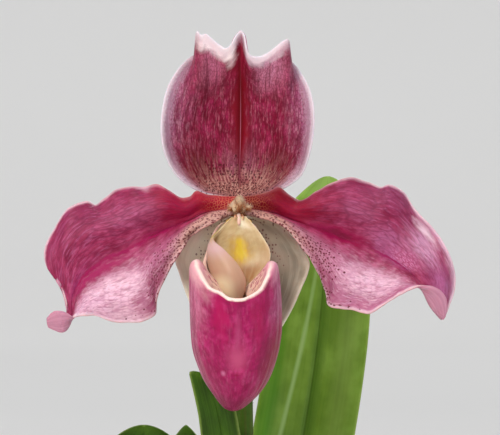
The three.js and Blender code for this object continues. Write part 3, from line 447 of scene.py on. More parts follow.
def dorsalSepal():
    alongAt = crowded(110, start=True)
    acrossAt = crowded(150)
    grid = gridOn(dorsal["rails"], alongAt, acrossAt)
    share = gridShare(alongAt, acrossAt, dorsal["railAt"])
    edge = np.array(dorsal["topEdge"])
    fine = np.linspace(0, 1, 400)
    outline = smoothThrough(edge, fine)
    across = share[-1, :, 1]
    inside = np.abs(across) < 0.68
    for axis, column in ((0, 1), (2, 2)):
        wanted = np.interp(across, outline[:, 0], outline[:, column])
        off = np.where(inside, wanted - grid[-1, :, axis], 0)
        grid[:, :, axis] += off * smoothStep(dorsal["edgeFrom"], 1, alongAt)[:, None]
    u = share[..., 0]
    v = share[..., 1]
    keel = np.exp(-(v / 0.05) ** 2) * smoothStep(0.05, 0.3, u)
    grid[..., 1] += 0.45 * keel - 0.3 * np.exp(-((np.abs(v) - 0.11) / 0.06) ** 2) * smoothStep(0.1, 0.3, u)
    grid[..., 1] += 0.07 * np.cos(v * 42) * smoothStep(0.1, 0.35, u) * smoothStep(1.0, 0.8, u)   # parallel veins
    grid[..., 1] += 0.25 * ripple(u * 3, v * 2, 3) * smoothStep(0, 0.2, u)
    # the top corners are creases: beyond them the side margins turn back behind the hood
    grid[..., 1] += 1.3 * smoothStep(0.67, 0.71, np.abs(v)) * smoothStep(0.66, 0.84, u)
    piece = closedSheet("dorsalSepal", setBack(grid), share, dorsal, offset=flowerAt)
    return stand(piece, ["dorsal_sepal"])


synsepal = {
    "rails": [
        [[-2.4, 2.1, -1], [-8.5, 2.2, -2.6], [-13.3, 1.9, -7], [-15.7, 1.4, -11.8], [-14.7, 0.8, -15.5],
         [-13.5, 0, -19.1], [-12.1, -0.8, -22.8], [-9.6, -1.8, -29], [-5.5, -2.8, -35], [-1.2, -3.5, -38.6]],
        [[-1.2, 2.1, -1.2], [-4.6, 2.8, -4.4], [-7.5, 4.5, -11.5], [-7, 4, -18.5], [-5.6, 2.5, -26.2],
         [-3.4, 0, -34], [-0.2, -3, -39]],
        [[0, 2.1, -1.4], [0.6, 2.9, -5], [1, 6, -11.5], [1, 5.8, -18.5], [0.8, 4, -26.4],
         [0.6, 1, -34.2], [0.4, -2.8, -39.2]],
        [[1.2, 2.1, -1.2], [5.5, 2.8, -4.4], [9, 4.5, -11.7], [9, 4, -18.5], [7.2, 2.5, -26.2],
         [4.6, 0, -34], [1, -3, -39]],
        [[2.4, 2.1, -1], [9.5, 2.2, -2.4], [15.4, 1.9, -8.2], [17.9, 1.4, -12.6], [17.5, 0.9, -15.4],
         [16.1, 0.2, -18.6], [13.7, -0.8, -24], [10.6, -1.8, -29.4], [6.8, -2.8, -35], [2, -3.5, -38.6]],
    ],
    "thick": 0.9, "cloud": 4.0,
    "body": ["#e6e0cc", "#dcd3bc", "#d0c5ac"],
    "patches": [
        # the first patch is painted shade: the right half darkened as the side that turns away from the light
        ((0.45, 0.6), (0.6, 0.66), "#8e8474", 1.5), ((0.35, -0.8), (0.4, 0.4), "#ece8d2", 0.9),
        ((0.08, 0.0), (0.22, 1.4), "#c0a888", 1.2), ((0.3, -0.45), (0.2, 0.3), "#c8b09c", 0.6),
        ((0.3, 0.5), (0.22, 0.3), "#c4ac9c", 0.6),
    ],
    "veins": [
        {"count": (2.5, 12.0), "from": 0.5, "to": 0.66, "tint": "#b8aa94", "amount": 0.2},
        {"count": (3.0, 18.0), "from": 0.52, "to": 0.66, "tint": "#e4dcc8", "amount": 0.16, "seed": 4.1},
    ],
    "spots": [{"apart": (0.9, 0.75), "wide": 0.28, "tint": "#6f3c3c", "amount": 0.8,
               "where": [((0.22, 0.4), (0.34, 0.4), 0.9), ((0.22, -0.45), (0.26, 0.35), 0.7),
                         ((0.06, 0.0), (0.16, 1.4), 1.6)]}],
    "rims": [{"wide": 0.8, "ragged": 0.5, "tint": "#e4decd", "amount": 0.6}],
    "reverse": {"count": (3, 10), "tones": ("#c8bda2", "#a3b07c")},
    "glow": 0.25, "roughness": 0.48, "sheen": 0.02, "shine": 0.2, "ridge": 0.15,
}


def synsepalPiece():
    alongAt = crowded(80)
    acrossAt = crowded(90)
    grid = gridOn(synsepal["rails"], alongAt, acrossAt)
    share = gridShare(alongAt, acrossAt, [-1, -0.5, 0, 0.5, 1])
    v = share[..., 1]
    u = share[..., 0]
    grid[..., 1] += 0.03 * np.cos(v * 30) + 0.3 * ripple(u * 2, v * 2, 8)
    for line in (-0.34, 0.34):   # the two fused sepals keep a keel each on the back
        grid[..., 1] += 0.35 * np.exp(-((v - line) / 0.06) ** 2)
    piece = closedSheet("synsepal", setBack(grid), share, synsepal, offset=flowerAt)
    return stand(piece, ["synsepal"])


# Rails: upper margin, upper half, midrib, lower half, lower margin; the margins have twice the points.
# Both tips are folded lengthwise, so the lower blade shows its reverse there.

petalShared = {
    "railAt": [-1, -0.5, 0, 0.5, 1],
    "thick": 0.9, "cloud": 3.0, "glow": 0.22, "roughness": 0.42, "sheen": 0.03, "shine": 0.22, "bump": 0.1,
    "veins": [
        {"count": (2.6, 13.0), "from": 0.48, "to": 0.6, "tint": "#700a34", "amount": 0.28,
         "where": [((0.42, -0.55), (0.62, 0.95))]},
        {"count": (30.0, 26.0), "from": 0.5, "to": 0.64, "tint": "#bc6896", "amount": 0.4, "seed": 5.0,
         "where": [((0.62, -0.5), (0.42, 0.9))]},
        {"count": (24.0, 20.0), "from": 0.5, "to": 0.62, "tint": "#a04a74", "amount": 0.4, "seed": 9.0,
         "where": [((0.56, 0.7), (0.4, 0.75))]},
        {"count": (44.0, 36.0), "from": 0.5, "to": 0.64, "tint": "#f0d0de", "amount": 0.4, "seed": 2.0,
         "where": [((0.6, 0.6), (0.4, 0.75))]},
        {"count": (40.0, 32.0), "from": 0.5, "to": 0.64, "tint": "#7d1236", "amount": 0.4, "seed": 13.0},
    ],
    "nets": [
        {"count": (19, 15), "wide": 0.2, "tint": "#5a0430", "amount": 0.38, "where": [((0.52, -0.5), (0.5, 0.9))]},
        {"count": (44, 20), "wide": 0.22, "tint": "#94406a", "amount": 0.28, "where": [((0.5, 0.75), (0.4, 0.8))]},
        {"count": (70, 7), "wide": 0.15, "tint": "#ea9a6c", "amount": 0.75, "where": [((0.0, -0.4), (0.2, 1.0))]},
    ],
    "rims": [{"wide": 1.0, "ragged": 0.6, "tint": "#f0d2de", "amount": 1.1, "where": [((0.75, 0.0), (0.75, 3.0))]},
             {"wide": 0.35, "ragged": 0.2, "tint": "#d49a88", "amount": 0.5}],
    "reverse": {"count": (4, 10), "tones": ("#c98fa6", "#b97d94")},
}

petalLeft = {
    **petalShared,
    "rails": [
        [[-0.1, -2.6, 3.9], [-2.9, -0.6, 3.9], [-5.6, 0.6, 4.2], [-7.8, 0.4, 4.4], [-10.3, 0.4, 5.3],
         [-11.9, 0.6, 4], [-14, 1, 3.5], [-17.2, 1.6, 5.4], [-20, 2, 6.9], [-23.2, 2.6, 6.4],
         [-27.2, 3, 6.3], [-30.6, 3.5, 5.4], [-33.3, 4, 3.6], [-35.5, 4.2, 1.8], [-37.6, 3.6, 2.7],
         [-42, 2.8, 1.3], [-45.6, 2, -3.6], [-48.4, 0.6, -9.4], [-48, -0.8, -13.2], [-44.8, -2.6, -17.4],
         [-43.2, -4.6, -22.4], [-42.6, -5.4, -25], [-44, -5.8, -25.2], [-46, -6, -25.4], [-47.8, -6.4, -27]],
        [[-1, -2.6, 2.6], [-5.7, 0, 2.4], [-9.7, -0.4, 2.5], [-13, -0.6, 0.8], [-18.2, -0.6, 1.7],
         [-24, -0.6, 0.4], [-30.2, -0.6, -2.5], [-37.4, -1.2, -4.6], [-43, -2.2, -10.6], [-43.9, -3.4, -17.8],
         [-42.4, -5.6, -24.2], [-43.8, -6.6, -27.3], [-47.8, -6.8, -27.6]],
        [[-1.2, -2.4, 0.9], [-5.9, 1, 0.2], [-9, 0.7, -0.5], [-12.3, 0.3, -2.2], [-16.6, 0, -3.9],
         [-21.3, -0.4, -5.9], [-27, -0.8, -8.9], [-33.8, -1.6, -12], [-39, -2.8, -16.3], [-41.3, -4.2, -21.3],
         [-41.6, -6.2, -26.2], [-43.6, -7.6, -29.7], [-47.6, -7.4, -28.6]],
        [[-1.2, -2.4, -0.1], [-5, -0.9, -0.9], [-8.8, -1.6, -2.4], [-12.3, -2.4, -4.4], [-16.6, -4, -8.2],
         [-20.8, -5.4, -12.6], [-24, -6.4, -17.2], [-31.2, -6.6, -19.8], [-36.8, -6.4, -21.5],
         [-39.8, -6.2, -23.8], [-41.2, -7, -26.4], [-43.8, -8.6, -27.4], [-47.8, -7.8, -27.8]],
        [[-1.2, -2.2, -0.6], [-3.6, 0, -1.6], [-4.4, -1.6, -2], [-6, -2.2, -2.8], [-8.4, -2.7, -4],
         [-10.3, -3.1, -5.1], [-12.1, -3.7, -6.6], [-13.6, -4.5, -9.2], [-16, -5.4, -12.5], [-17.9, -6.2, -16.2],
         [-19.6, -7, -19.6], [-20.4, -7.8, -22.6], [-20.6, -8.4, -25.6], [-24.2, -8.7, -27.6],
         [-27.4, -8.7, -27.7], [-31.6, -8.4, -27.4], [-34.3, -8, -26.4], [-36.6, -7.8, -26], [-38.5, -7.6, -26],
         [-39.8, -7.6, -26.2], [-41.2, -7.8, -26.3], [-42.6, -8.3, -25.3], [-44.6, -8.6, -24.7],
         [-46.4, -8.4, -25], [-47.9, -8, -26.6]],
    ],
    "body": ["#80163f", "#942650", "#aa3e68"],
    "patches": [
        # the second patch is the pale core of the lower blade: pale pigment with a painted highlight at its middle
        ((0.56, 1.0), (0.5, 1.05), "#b56a8c", 2.5), ((0.58, 0.52), (0.17, 0.37), "#eac0d4", 1.3),
        ((0.7, 0.75), (0.2, 0.5), "#deb0c8", 1.2), ((0.58, 0.95), (0.12, 0.3), "#e2bccc", 0.9),
        ((0.43, 0.85), (0.15, 0.5), "#964e68", 1.5), ((0.28, 0.85), (0.12, 0.6), "#c0909a", 1.2),
        ((0.05, 1.0), (0.36, 1.1), "#cda096", 4.0), ((0.3, -0.5), (0.16, 0.4), "#7c2c4c", 0.7),
        ((0.05, -0.7), (0.36, 0.95), "#a20a28", 3.0), ((0.28, -0.4), (0.17, 0.7), "#960536", 1.3),
        ((0.66, 0.16), (0.14, 0.12), "#962558", 0.8), ((0.72, -0.05), (0.16, 0.2), "#98306a", 0.6),
        ((0.6, -0.8), (0.26, 0.45), "#8e3058", 0.6), ((0.46, -0.5), (0.16, 0.3), "#b8628c", 0.5),
    ],
    "over": [
        ((0.4, 0.0), (0.17, 0.11), "#94084a", 1.6), ((0.39, -0.01), (0.12, 0.06), "#7e0438", 1.2),
        ((0.6, 0.03), (0.22, 0.07), "#90084a", 1.4), ((0.62, 0.14), (0.18, 0.08), "#9a1454", 1.2),
        # the last mark here is a painted highlight where the upper margin bulges up
        ((0.16, 0.06), (0.2, 0.05), "#5c0a1c", 1.6), ((0.37, -0.95), (0.035, 0.16), "#d0a4b6", 0.55),
    ],
    "spots": [{"apart": (0.76, 0.66), "wide": 0.34, "tint": "#661a2a", "amount": 0.9,
               "where": [((0.1, 0.75), (0.34, 0.8), 2.2), ((0.34, 0.75), (0.2, 0.55), 1.0),
                         ((0.42, 0.97), (0.2, 0.25), 0.4)]}],
    "midrib": 0.0, "waves": 21,
}

petalRight = {
    **petalShared,
    "rails": [
        [[0.6, -2.6, 3.9], [2.9, -0.6, 4], [5, 0.6, 4.4], [7.4, 0.4, 5], [10.4, 0.4, 6.2], [12.4, 0.6, 4.6],
         [15.2, 1, 2.9], [17.6, 1.5, 3.7], [20.3, 2, 5.6], [24, 2.6, 7.4], [27.8, 3, 8.7], [32.2, 3.6, 7.7],
         [36.2, 4, 6.2], [38, 4, 7], [41.5, 3.5, 4.9], [44.6, 2.8, 0.2], [48.6, 2, -3.8], [51.2, 1.6, -7.4],
         [53.4, 0.8, -12], [54.4, 0, -16.4], [54.2, -1, -19.6], [53.4, -2.4, -22.2], [52.7, -3.6, -24],
         [52.1, -4.6, -25.6], [51.4, -5.6, -27]],
        [[1.2, -2.6, 2.6], [5, 0, 2.5], [9.2, -0.4, 2.9], [14.2, -0.6, 0.5], [19, -0.6, 1], [26, -0.6, 1.3],
         [33.2, -0.6, -1], [38.6, -0.8, -2.6], [44.4, -1.6, -8.4], [48.4, -2.4, -13.5], [50.4, -4, -18.2],
         [50.8, -5.2, -23], [51.3, -5.6, -26.8]],
        [[1.5, -2.4, 0.9], [5, 1, 0.4], [8.8, 0.7, -0.4], [13, 0.3, -1.9], [18, 0, -3.8], [24.3, -0.4, -6.3],
         [30, -0.8, -8.3], [35, -1.6, -10.6], [39.6, -2.8, -13], [43, -4.2, -15.6], [45.8, -5.8, -18.6],
         [48.2, -7, -23.4], [51, -6.4, -27]],
        [[1.5, -2.4, -0.1], [4.7, -0.9, -0.6], [8.7, -1.6, -1.5], [12.8, -2.4, -3.4], [17.4, -4, -6.9],
         [22.3, -5.4, -11.3], [26.6, -6.4, -16], [32.2, -6.6, -18], [38.2, -6.4, -18.4], [42.2, -6.6, -18.1],
         [45.4, -7.8, -18.8], [49.4, -8.6, -21.4], [51.4, -7.4, -26.9]],
        [[1.5, -2.2, -0.5], [3.7, 0, -1.1], [4.7, -1.6, -1.4], [6.4, -2.1, -1.8], [8.6, -2.6, -2.5],
         [10.6, -3, -3.4], [12.7, -3.6, -5], [14.8, -4.5, -7.6], [17, -5.4, -10.3], [19, -6.3, -13.6],
         [20.7, -7, -17], [21.9, -7.7, -20.4], [22.5, -8.4, -23.4], [26, -8.7, -24.4], [29.6, -8.9, -24.7],
         [32.4, -8.8, -25.6], [36.2, -8.3, -23.5], [39, -8.1, -21.7], [41.2, -8, -20.4], [43.6, -8.4, -19.2],
         [45.6, -8.7, -18.5], [48, -9, -18.4], [50.6, -8.8, -19.6], [52.4, -8.2, -22.4], [51.9, -7.6, -26.3]],
    ],
    "body": ["#80163e", "#922850", "#a84068"],
    "patches": [
        ((0.56, 1.0), (0.5, 1.05), "#ba7090", 2.5), ((0.6, 0.5), (0.2, 0.4), "#e2b4ca", 1.3),
        ((0.32, 0.7), (0.17, 0.6), "#b07486", 1.5), ((0.44, 0.95), (0.14, 0.42), "#9c5670", 1.4),
        ((0.05, 1.0), (0.34, 1.1), "#c8988c", 4.0),
        ((0.04, -0.7), (0.36, 0.95), "#7a0010", 3.0), ((0.28, -0.4), (0.17, 0.65), "#94042e", 1.2),
        ((0.6, -0.25), (0.14, 0.3), "#aa5c86", 1.0), ((0.67, -0.05), (0.12, 0.16), "#b05a8e", 1.0),
        # the first patch here is a painted highlight along the ridge of the outer blade
        ((0.7, -0.56), (0.12, 0.34), "#cc92b2", 1.2), ((0.84, -0.55), (0.13, 0.55), "#ac5c8a", 1.1),
        ((0.82, -1.0), (0.3, 0.24), "#d8a8c0", 1.3), ((0.69, -0.18), (0.1, 0.24), "#cc7aa4", 1.1),
        ((0.55, -0.85), (0.2, 0.35), "#884064", 0.6), ((0.46, -0.5), (0.12, 0.25), "#a85c80", 0.6),
    ],
    "nets": [
        *petalShared["nets"],
        {"count": (46, 26), "wide": 0.26, "tint": "#90104c", "amount": 0.75, "where": [((0.69, -0.18), (0.13, 0.28))]},
    ],
    "over": [
        ((0.43, -0.05), (0.13, 0.2), "#900442", 2.2), ((0.43, -0.06), (0.1, 0.12), "#760032", 1.4),
        ((0.66, -0.02), (0.18, 0.05), "#901450", 1.4), ((0.28, 0.02), (0.16, 0.05), "#74042e", 1.2),
        # the last mark here is a painted glint near the upper margin
        ((0.16, 0.06), (0.2, 0.05), "#520816", 1.6), ((0.67, -0.8), (0.055, 0.15), "#e8ccda", 0.85),
    ],
    "spots": [{"apart": (0.8, 0.7), "wide": 0.36, "tint": "#601224", "amount": 0.92,
               "where": [((0.1, 0.75), (0.36, 0.8), 2.2), ((0.32, 0.65), (0.2, 0.6), 1.3),
                         ((0.42, 0.97), (0.24, 0.22), 0.8)]}],
    "midrib": -0.02, "waves": 34,
}


def petalPiece(name, node, look):
    alongAt = crowded(150)
    acrossAt = crowded(120)
    grid = gridOn(look["rails"], alongAt, acrossAt)
    share = gridShare(alongAt, acrossAt, look["railAt"])
    u = share[..., 0]
    v = share[..., 1]
    body = smoothStep(0.08, 0.25, u) * smoothStep(0.97, 0.8, u)
    grid[..., 1] += 0.4 * np.exp(-((v - look["midrib"]) / 0.06) ** 2) * body      # midrib groove
    grid[..., 1] -= 0.25 * np.exp(-((v - look["midrib"] - 0.14) / 0.07) ** 2) * body
    grid[..., 1] += 0.03 * np.cos(v * 26 + 2 * ripple(u * 2, v, 4)) * body           # parallel veins
    grid[..., 1] += 0.5 * ripple(u * 3.2, v * 1.6, look["waves"]) * body
    ruffle = ripple(u * 9, v * 0.5, look["waves"] + 1) * smoothStep(0.55, 1.0, np.abs(v))
    grid[..., 1] += 0.7 * ruffle * body
    grid[..., 2] += 0.16 * ripple(u * 17, v * 0.5, look["waves"] + 2) * smoothStep(0.75, 1.0, np.abs(v)) * body
    piece = closedSheet(name, setBack(grid), share, look, offset=flowerAt)
    return stand(piece, [node])


pouch = {
    # from the toe up: height, centre x, centre y, half width, depth forward, depth back
    "sections": [[-49.4, -1.1, -23.0, 0.0, 0.0, 0.0], [-48.9, -1.1, -22.9, 1.7, 1.8, 1.7],
                 [-47.4, -0.85, -22.6, 3.5, 3.9, 3.6], [-45.2, -0.5, -22.1, 5.4, 6.2, 5.7],
                 [-41.9, -0.45, -21.4, 7.6, 8.6, 8.2], [-38.8, -0.45, -20.7, 9.0, 10.0, 9.8],
                 [-34.6, -0.5, -19.9, 10.3, 11.3, 11.2], [-30, -0.4, -19.2, 10.85, 12, 12],
                 [-26.5, -0.45, -18.8, 11.0, 12.4, 12.5], [-22.5, -0.6, -18.4, 11.05, 12.6, 13],
                 [-17.2, -0.85, -18, 10.85, 12.2, 13.6], [-13.8, -1.05, -17.7, 10.6, 11.7, 14.2],
                 [-8, -0.6, -17.3, 9.2, 10.8, 16.2], [-2.4, -0.2, -17, 8, 10, 18]],
    # degrees from the front, top of the rim on the left, top of the rim on the right
    "rimTop": [[0, -22.1, -22.1], [9, -21.7, -22], [18, -20.4, -21.3], [33, -19.2, -19.6], [45, -17.2, -17.4],
               [60, -14.8, -14.7], [75, -12.9, -13.1], [88, -12.3, -12.7], [105, -12.8, -13.2],
               [125, -14, -14.2], [142, -13, -13], [156, -6, -6], [166, -3, -3], [180, -2.6, -2.6]],
    # degrees from the front, radius of the rolled edge, degrees that it turns, length of the lobe inside
    "roll": [[0, 0.3, 150, 0.8], [15, 0.32, 150, 2.5], [30, 0.38, 146, 5], [45, 0.52, 142, 7.5],
             [62, 0.78, 138, 9], [80, 0.95, 138, 9], [108, 0.95, 145, 6], [135, 0.6, 110, 2],
             [150, 0.3, 40, 0.4], [180, 0.25, 20, 0.2]],
    "around": 176, "wallRows": 90, "rollRows": 12, "lobeRows": 16,
    "thick": 0.95, "cloud": 3.0,
    "body": ["#90084a", "#a01256", "#b02a68"],
    "patches": [
        ((0.86, -0.32), (0.3, 0.17), "#c06a8a", 1.1), ((0.86, 0.36), (0.24, 0.15), "#b05280", 0.9),
        ((0.5, 0.24), (0.32, 0.1), "#90104a", 0.8), ((0.52, -0.13), (0.3, 0.06), "#90124a", 0.6),
        ((0.12, 0.0), (0.16, 3.0), "#86264e", 0.8), ((0.5, -0.46), (0.5, 0.1), "#a84872", 0.6),
        ((0.47, 0.4), (0.4, 0.24), "#88002e", 1.5), ((0.4, -0.34), (0.26, 0.1), "#960e4a", 0.7),
        ((0.7, 1.0), (0.9, 0.32), "#b08c80", 1.8), ((0.7, -1.0), (0.9, 0.32), "#b08c80", 1.8),
        ((1.2, 0.0), (0.18, 6.0), "#e6bfac", 3.0),
    ],
    "veins": [
        {"count": (2.6, 15.0), "from": 0.5, "to": 0.64, "tint": "#780a3a", "amount": 0.45},
        {"count": (8.0, 30.0), "from": 0.52, "to": 0.68, "tint": "#cd6e98", "amount": 0.2, "seed": 3.0},
        {"count": (26.0, 40.0), "from": 0.5, "to": 0.66, "tint": "#d692ac", "amount": 0.45, "seed": 11.0,
         "where": [((0.75, -0.36), (0.5, 0.22))]},
        {"count": (26.0, 40.0), "from": 0.5, "to": 0.66, "tint": "#cc86a6", "amount": 0.4, "seed": 12.0,
         "where": [((0.88, 0.36), (0.32, 0.18))]},
        {"count": (24.0, 44.0), "from": 0.5, "to": 0.66, "tint": "#740a38", "amount": 0.35, "seed": 6.0},
    ],
    "nets": [{"count": (17, 24), "wide": 0.18, "tint": "#800e40", "amount": 0.35, "where": [((0.5, 0.0), (0.6, 9.0))]}],
    "over": [
        ((0.82, 0.15), (0.34, 0.09), "#9c0448", 0.75), ((0.88, -0.1), (0.28, 0.085), "#a80650", 0.9),
    ],
    "lines": [
        ((0.57, 0.01), (0.17, 0.12), "#b4466f", 1.0), ((0.76, 0.01), (0.22, 0.04), "#ac3e6c", 0.7),
        # the last line is a small painted highlight on the front of the pouch, at the ledge above the toe
        ((0.425, 0.0), (0.012, 0.07), "#84103c", 0.8), ((0.425, -0.11), (0.036, 0.03), "#c06a90", 0.9),
    ],
    "rims": [
        {"wide": 4.6, "ragged": 2.4, "tint": "#dfa2ac", "amount": 1.2, "where": [((1.0, -0.4), (0.5, 0.28))]},
        {"wide": 3.6, "ragged": 2.4, "tint": "#da94a8", "amount": 1.0, "where": [((1.0, 0.42), (0.5, 0.24))]},
        {"wide": 0.55, "ragged": 0.3, "tint": "#f6dbd1", "amount": 2.2, "where": [((1.0, -0.05), (0.6, 0.72))]},
    ],
    "spots": [{"apart": (0.9, 0.9), "wide": 0.4, "tint": "#a8305a", "amount": 0.85,
               "where": [((1.16, 0.42), (0.12, 0.3), 1.5), ((1.16, -0.42), (0.1, 0.3), 0.4)]}],
    "reverse": {"count": (3, 14), "tones": ("#e6c0b0", "#d29c90"),
                "patches": [((1.0, 0.95), (0.7, 0.34), "#a48a74", 1.8), ((1.0, -0.95), (0.7, 0.34), "#a48a74", 1.8)]},
    "glow": 0.2, "roughness": 0.36, "sheen": 0.02, "shine": 0.25, "coat": 0.03,
}


# Value of a given table at an angle from the front, smoothly between its rows.
def byAngle(table, column, degrees):
    fine = smoothThrough(np.array(table, float), np.linspace(0, 1, 300))
    return np.interp(degrees, fine[:, 0], fine[:, column])


def pouchGrid(look):
    sections = smoothThrough(np.array(look["sections"]), np.linspace(0, 1, 600))
    around = look["around"]
    angle = 2 * np.pi * np.arange(around) / around - np.pi
    degrees = np.degrees(np.abs(angle))
    right = angle > 0
    rimTop = np.where(right, byAngle(look["rimTop"], 2, degrees), byAngle(look["rimTop"], 1, degrees))
    radius = byAngle(look["roll"], 1, degrees)
    turn = np.radians(byAngle(look["roll"], 2, degrees))
    lobe = byAngle(look["roll"], 3, degrees)
    outward = np.stack([np.sin(angle), -np.cos(angle), np.zeros(around)], axis=-1)

    def wall(height):
        cx, cy, half, forward, back = (np.interp(height, sections[:, 0], sections[:, k]) for k in range(1, 6))
        depth = np.where(np.abs(angle) < np.pi / 2, forward, back)
        reach = half * depth / np.maximum(np.hypot(depth * outward[:, 0], half * outward[:, 1]), 1e-6)
        point = np.stack([cx, cy, height], axis=-1) + outward * reach[..., None]
        # a flat panel down the front that ends in a small ledge above the toe
        front = np.exp(-(point[..., 0] + 0.4) ** 2 / 7.0) * (np.abs(angle) < np.pi / 2)
        panel = smoothStep(-41.6, -39.6, height) * smoothStep(-22, -27, height)
        dent = 0.55 * front * panel
        fold = 0.12 * ripple(angle * 2.6, height * 0.05, 12) + 0.015 * np.cos(angle * 34 + height * 0.08)
        dent = dent + fold * smoothStep(-48.5, -43, height)
        return point - outward * dent[..., None]

    toe = look["sections"][0][0]
    edge = rimTop - radius
    rows = []
    shares = []
    for i in range(1, look["wallRows"] + 1):
        t = i / look["wallRows"]
        height = toe + (edge - toe) * t ** 1.35
        rows.append(wall(height))
        shares.append(np.full(around, t))
    base = rows[-1]
    lean = unit(rows[-1] - rows[-2])
    inward = -outward
    for i in range(1, look["rollRows"] + 1):
        turned = turn * i / look["rollRows"]
        step = inward * (1 - np.cos(turned))[:, None] + lean * np.sin(turned)[:, None]
        rows.append(base + step * radius[:, None])
        shares.append(np.full(around, 1 + 0.05 * i / look["rollRows"]))
    last = rows[-1]
    down = inward * np.sin(turn)[:, None] + lean * np.cos(turn)[:, None]
    for i in range(1, look["lobeRows"] + 1):
        t = i / look["lobeRows"]
        sag = inward * (0.16 * t * lobe)[:, None]
        rows.append(last + (down * lobe[:, None] + sag) * t)
        shares.append(np.full(around, 1.05 + 0.25 * t))
    return np.stack(rows), np.stack([np.stack(shares), np.broadcast_to(angle / np.pi, (len(rows), around))], axis=-1)


# A thin cup from rings that start round the toe and end at a free rim.
def closedCup(name, grid, share, look, offset):
    rows, around = grid.shape[:2]
    up = np.gradient(grid, axis=0)
    round_ = np.roll(grid, -1, axis=1) - np.roll(grid, 1, axis=1)
    normals = unit(np.cross(round_, up))
    along = arcs(grid, 0)
    toEdge = along[-1:] - along
    half = look["thick"] / 2 * np.sqrt(1 - (1 - np.clip(toEdge / (look["thick"] * 0.6), 0, 1)) ** 2)
    outer = grid + normals * half[..., None]
    inner = grid - normals * half[..., None]
    toe = grid[0].mean(axis=0) + np.array([0, 0, -0.15])
    index = np.arange(rows * around).reshape(rows, around)
    innerIndex = index.copy()
    innerIndex[:-1] = rows * around + np.arange((rows - 1) * around).reshape(rows - 1, around)
    points = np.concatenate([outer.reshape(-1, 3), inner[:-1].reshape(-1, 3),
                             [toe + [0, 0, -0.2], toe + [0, 0, look["thick"]]]])
    faces = []
    for table, turn in ((index, 1), (innerIndex, -1)):
        shifted = np.roll(table, -1, axis=1)
        quads = np.stack([table[:-1], shifted[:-1], shifted[1:], table[1:]], axis=-1).reshape(-1, 4)
        faces += quads[:, ::turn].tolist()
    last = len(points) - 1
    for k in range(around):
        after = (k + 1) % around
        faces.append([last - 1, int(index[0, after]), int(index[0, k])])
        faces.append([last, int(innerIndex[0, k]), int(innerIndex[0, after])])
    toRoll = np.abs(along - along[look["wallRows"] + look["rollRows"] // 2])
    place = np.stack([along, share[..., 1] * 34.0, toRoll], axis=-1)
    side = np.ones((rows, around, 1))
    fields = {
        "place": np.concatenate([place.reshape(-1, 3), place[:-1].reshape(-1, 3), [[0, 0, 50], [0, 0, 50]]]),
        "share": np.concatenate([
            np.concatenate([share, side], axis=-1).reshape(-1, 3),
            np.concatenate([share, -side], axis=-1)[:-1].reshape(-1, 3), [[0, 0, 1], [0, 0, -1]]]),
    }
    points = points + np.array(offset)
    return makeObject(name, points, faceOut(faces, points), fields, [look["skin"]])


def pouchPiece():
    grid, share = pouchGrid(pouch)
    piece = closedCup("pouch", setBack(grid), share, pouch, flowerAt)
    return stand(piece, ["pouch"])


# Rails from its top to its foot: right margin, back, left back, fold, front, free front edge.

staminode = {
    "rails": [
        [[2, -9.6, -1.1], [4.6, -11, -4], [6.4, -12, -6.5], [8.1, -13, -10], [7.6, -14, -13.3],
         [5, -16, -17], [2.6, -18, -20.6]],
        [[0.1, -9.4, -1.2], [0, -10.2, -4], [0.4, -10.8, -6.8], [0.8, -11.4, -10.5], [1, -12.6, -14],
         [0.9, -14.6, -17.6], [0.8, -17.2, -20.8]],
        [[-1.1, -9.5, -1.3], [-3, -10.6, -4], [-5, -11.4, -6.6], [-5.8, -12.4, -10.4], [-5.2, -13.4, -14.3],
         [-4.2, -15.2, -17.8], [-1.8, -17.6, -21]],
        [[-1.5, -9.6, -1.35], [-4.1, -11.1, -4.1], [-6.6, -12.8, -6.8], [-7.5, -15.2, -10.4],
         [-6.8, -17.4, -14.4], [-5.1, -19, -18], [-2.2, -20, -22.4]],
        [[-1.65, -9.8, -1.4], [-4.35, -11.4, -4.2], [-6.7, -13.8, -6.9], [-5.6, -17.6, -10.2], [-3.2, -20, -14],
         [-1.8, -21, -17.8], [-0.4, -21, -22.6]],
        [[-1.7, -10, -1.45], [-4.5, -11.7, -4.3], [-6.1, -14.2, -6.7], [-3.1, -18.2, -9.7], [0.3, -20.4, -13.6],
         [2, -21, -17.5], [0.9, -20.4, -22.4]],
    ],
    "thick": 0.75, "thin": 0.5,
    "body": ["#b6986a", "#bea276", "#c6ae84"],
    "patches": [
        ((0.48, -0.58), (0.26, 0.26), "#c89c30", 1.3), ((0.46, -0.6), (0.18, 0.14), "#dcbc30", 1.4),
        ((0.76, -0.7), (0.2, 0.36), "#9c6a3c", 1.4), ((0.66, -0.5), (0.12, 0.16), "#b8804c", 0.9),
        # the last patch here is painted shade in the fold between the flap and the shield
        ((0.6, -1.0), (0.26, 0.25), "#b28c60", 0.9), ((0.4, -0.1), (0.34, 0.16), "#94703e", 1.1),
        # this patch is a painted highlight on the top of the shield, on its right
        ((0.12, -0.75), (0.12, 0.2), "#e6d8bc", 0.9),
    ],
    "veins": [{"count": (2.0, 12.0), "from": 0.45, "to": 0.7, "tint": "#b08a5a", "amount": 0.1},
              {"count": (4.0, 16.0), "from": 0.45, "to": 0.7, "tint": "#e6d6b0", "amount": 0.12, "seed": 4.0}],
    "rims": [{"wide": 0.5, "ragged": 0.2, "tint": "#e6d2b4", "amount": 0.8}],
    "reverse": {"count": (1.6, 2.5), "tones": ("#be987e", "#b48c74"),
                # the second patch is a painted highlight on the lower end of the flap
                "patches": [((0.38, 0.7), (0.26, 0.9), "#c8a3a2", 1.4), ((0.86, 0.4), (0.17, 0.4), "#decaa6", 1.2),
                            ((0.06, 0.6), (0.4, 2.0), "#a8925a", 3.0)]},
    "glow": 0.35, "roughness": 0.4, "sheen": 0.02, "shine": 0.3, "coat": 0.05, "bump": 0.03, "cloud": 3.0,
    "ridge": 0.3,
}


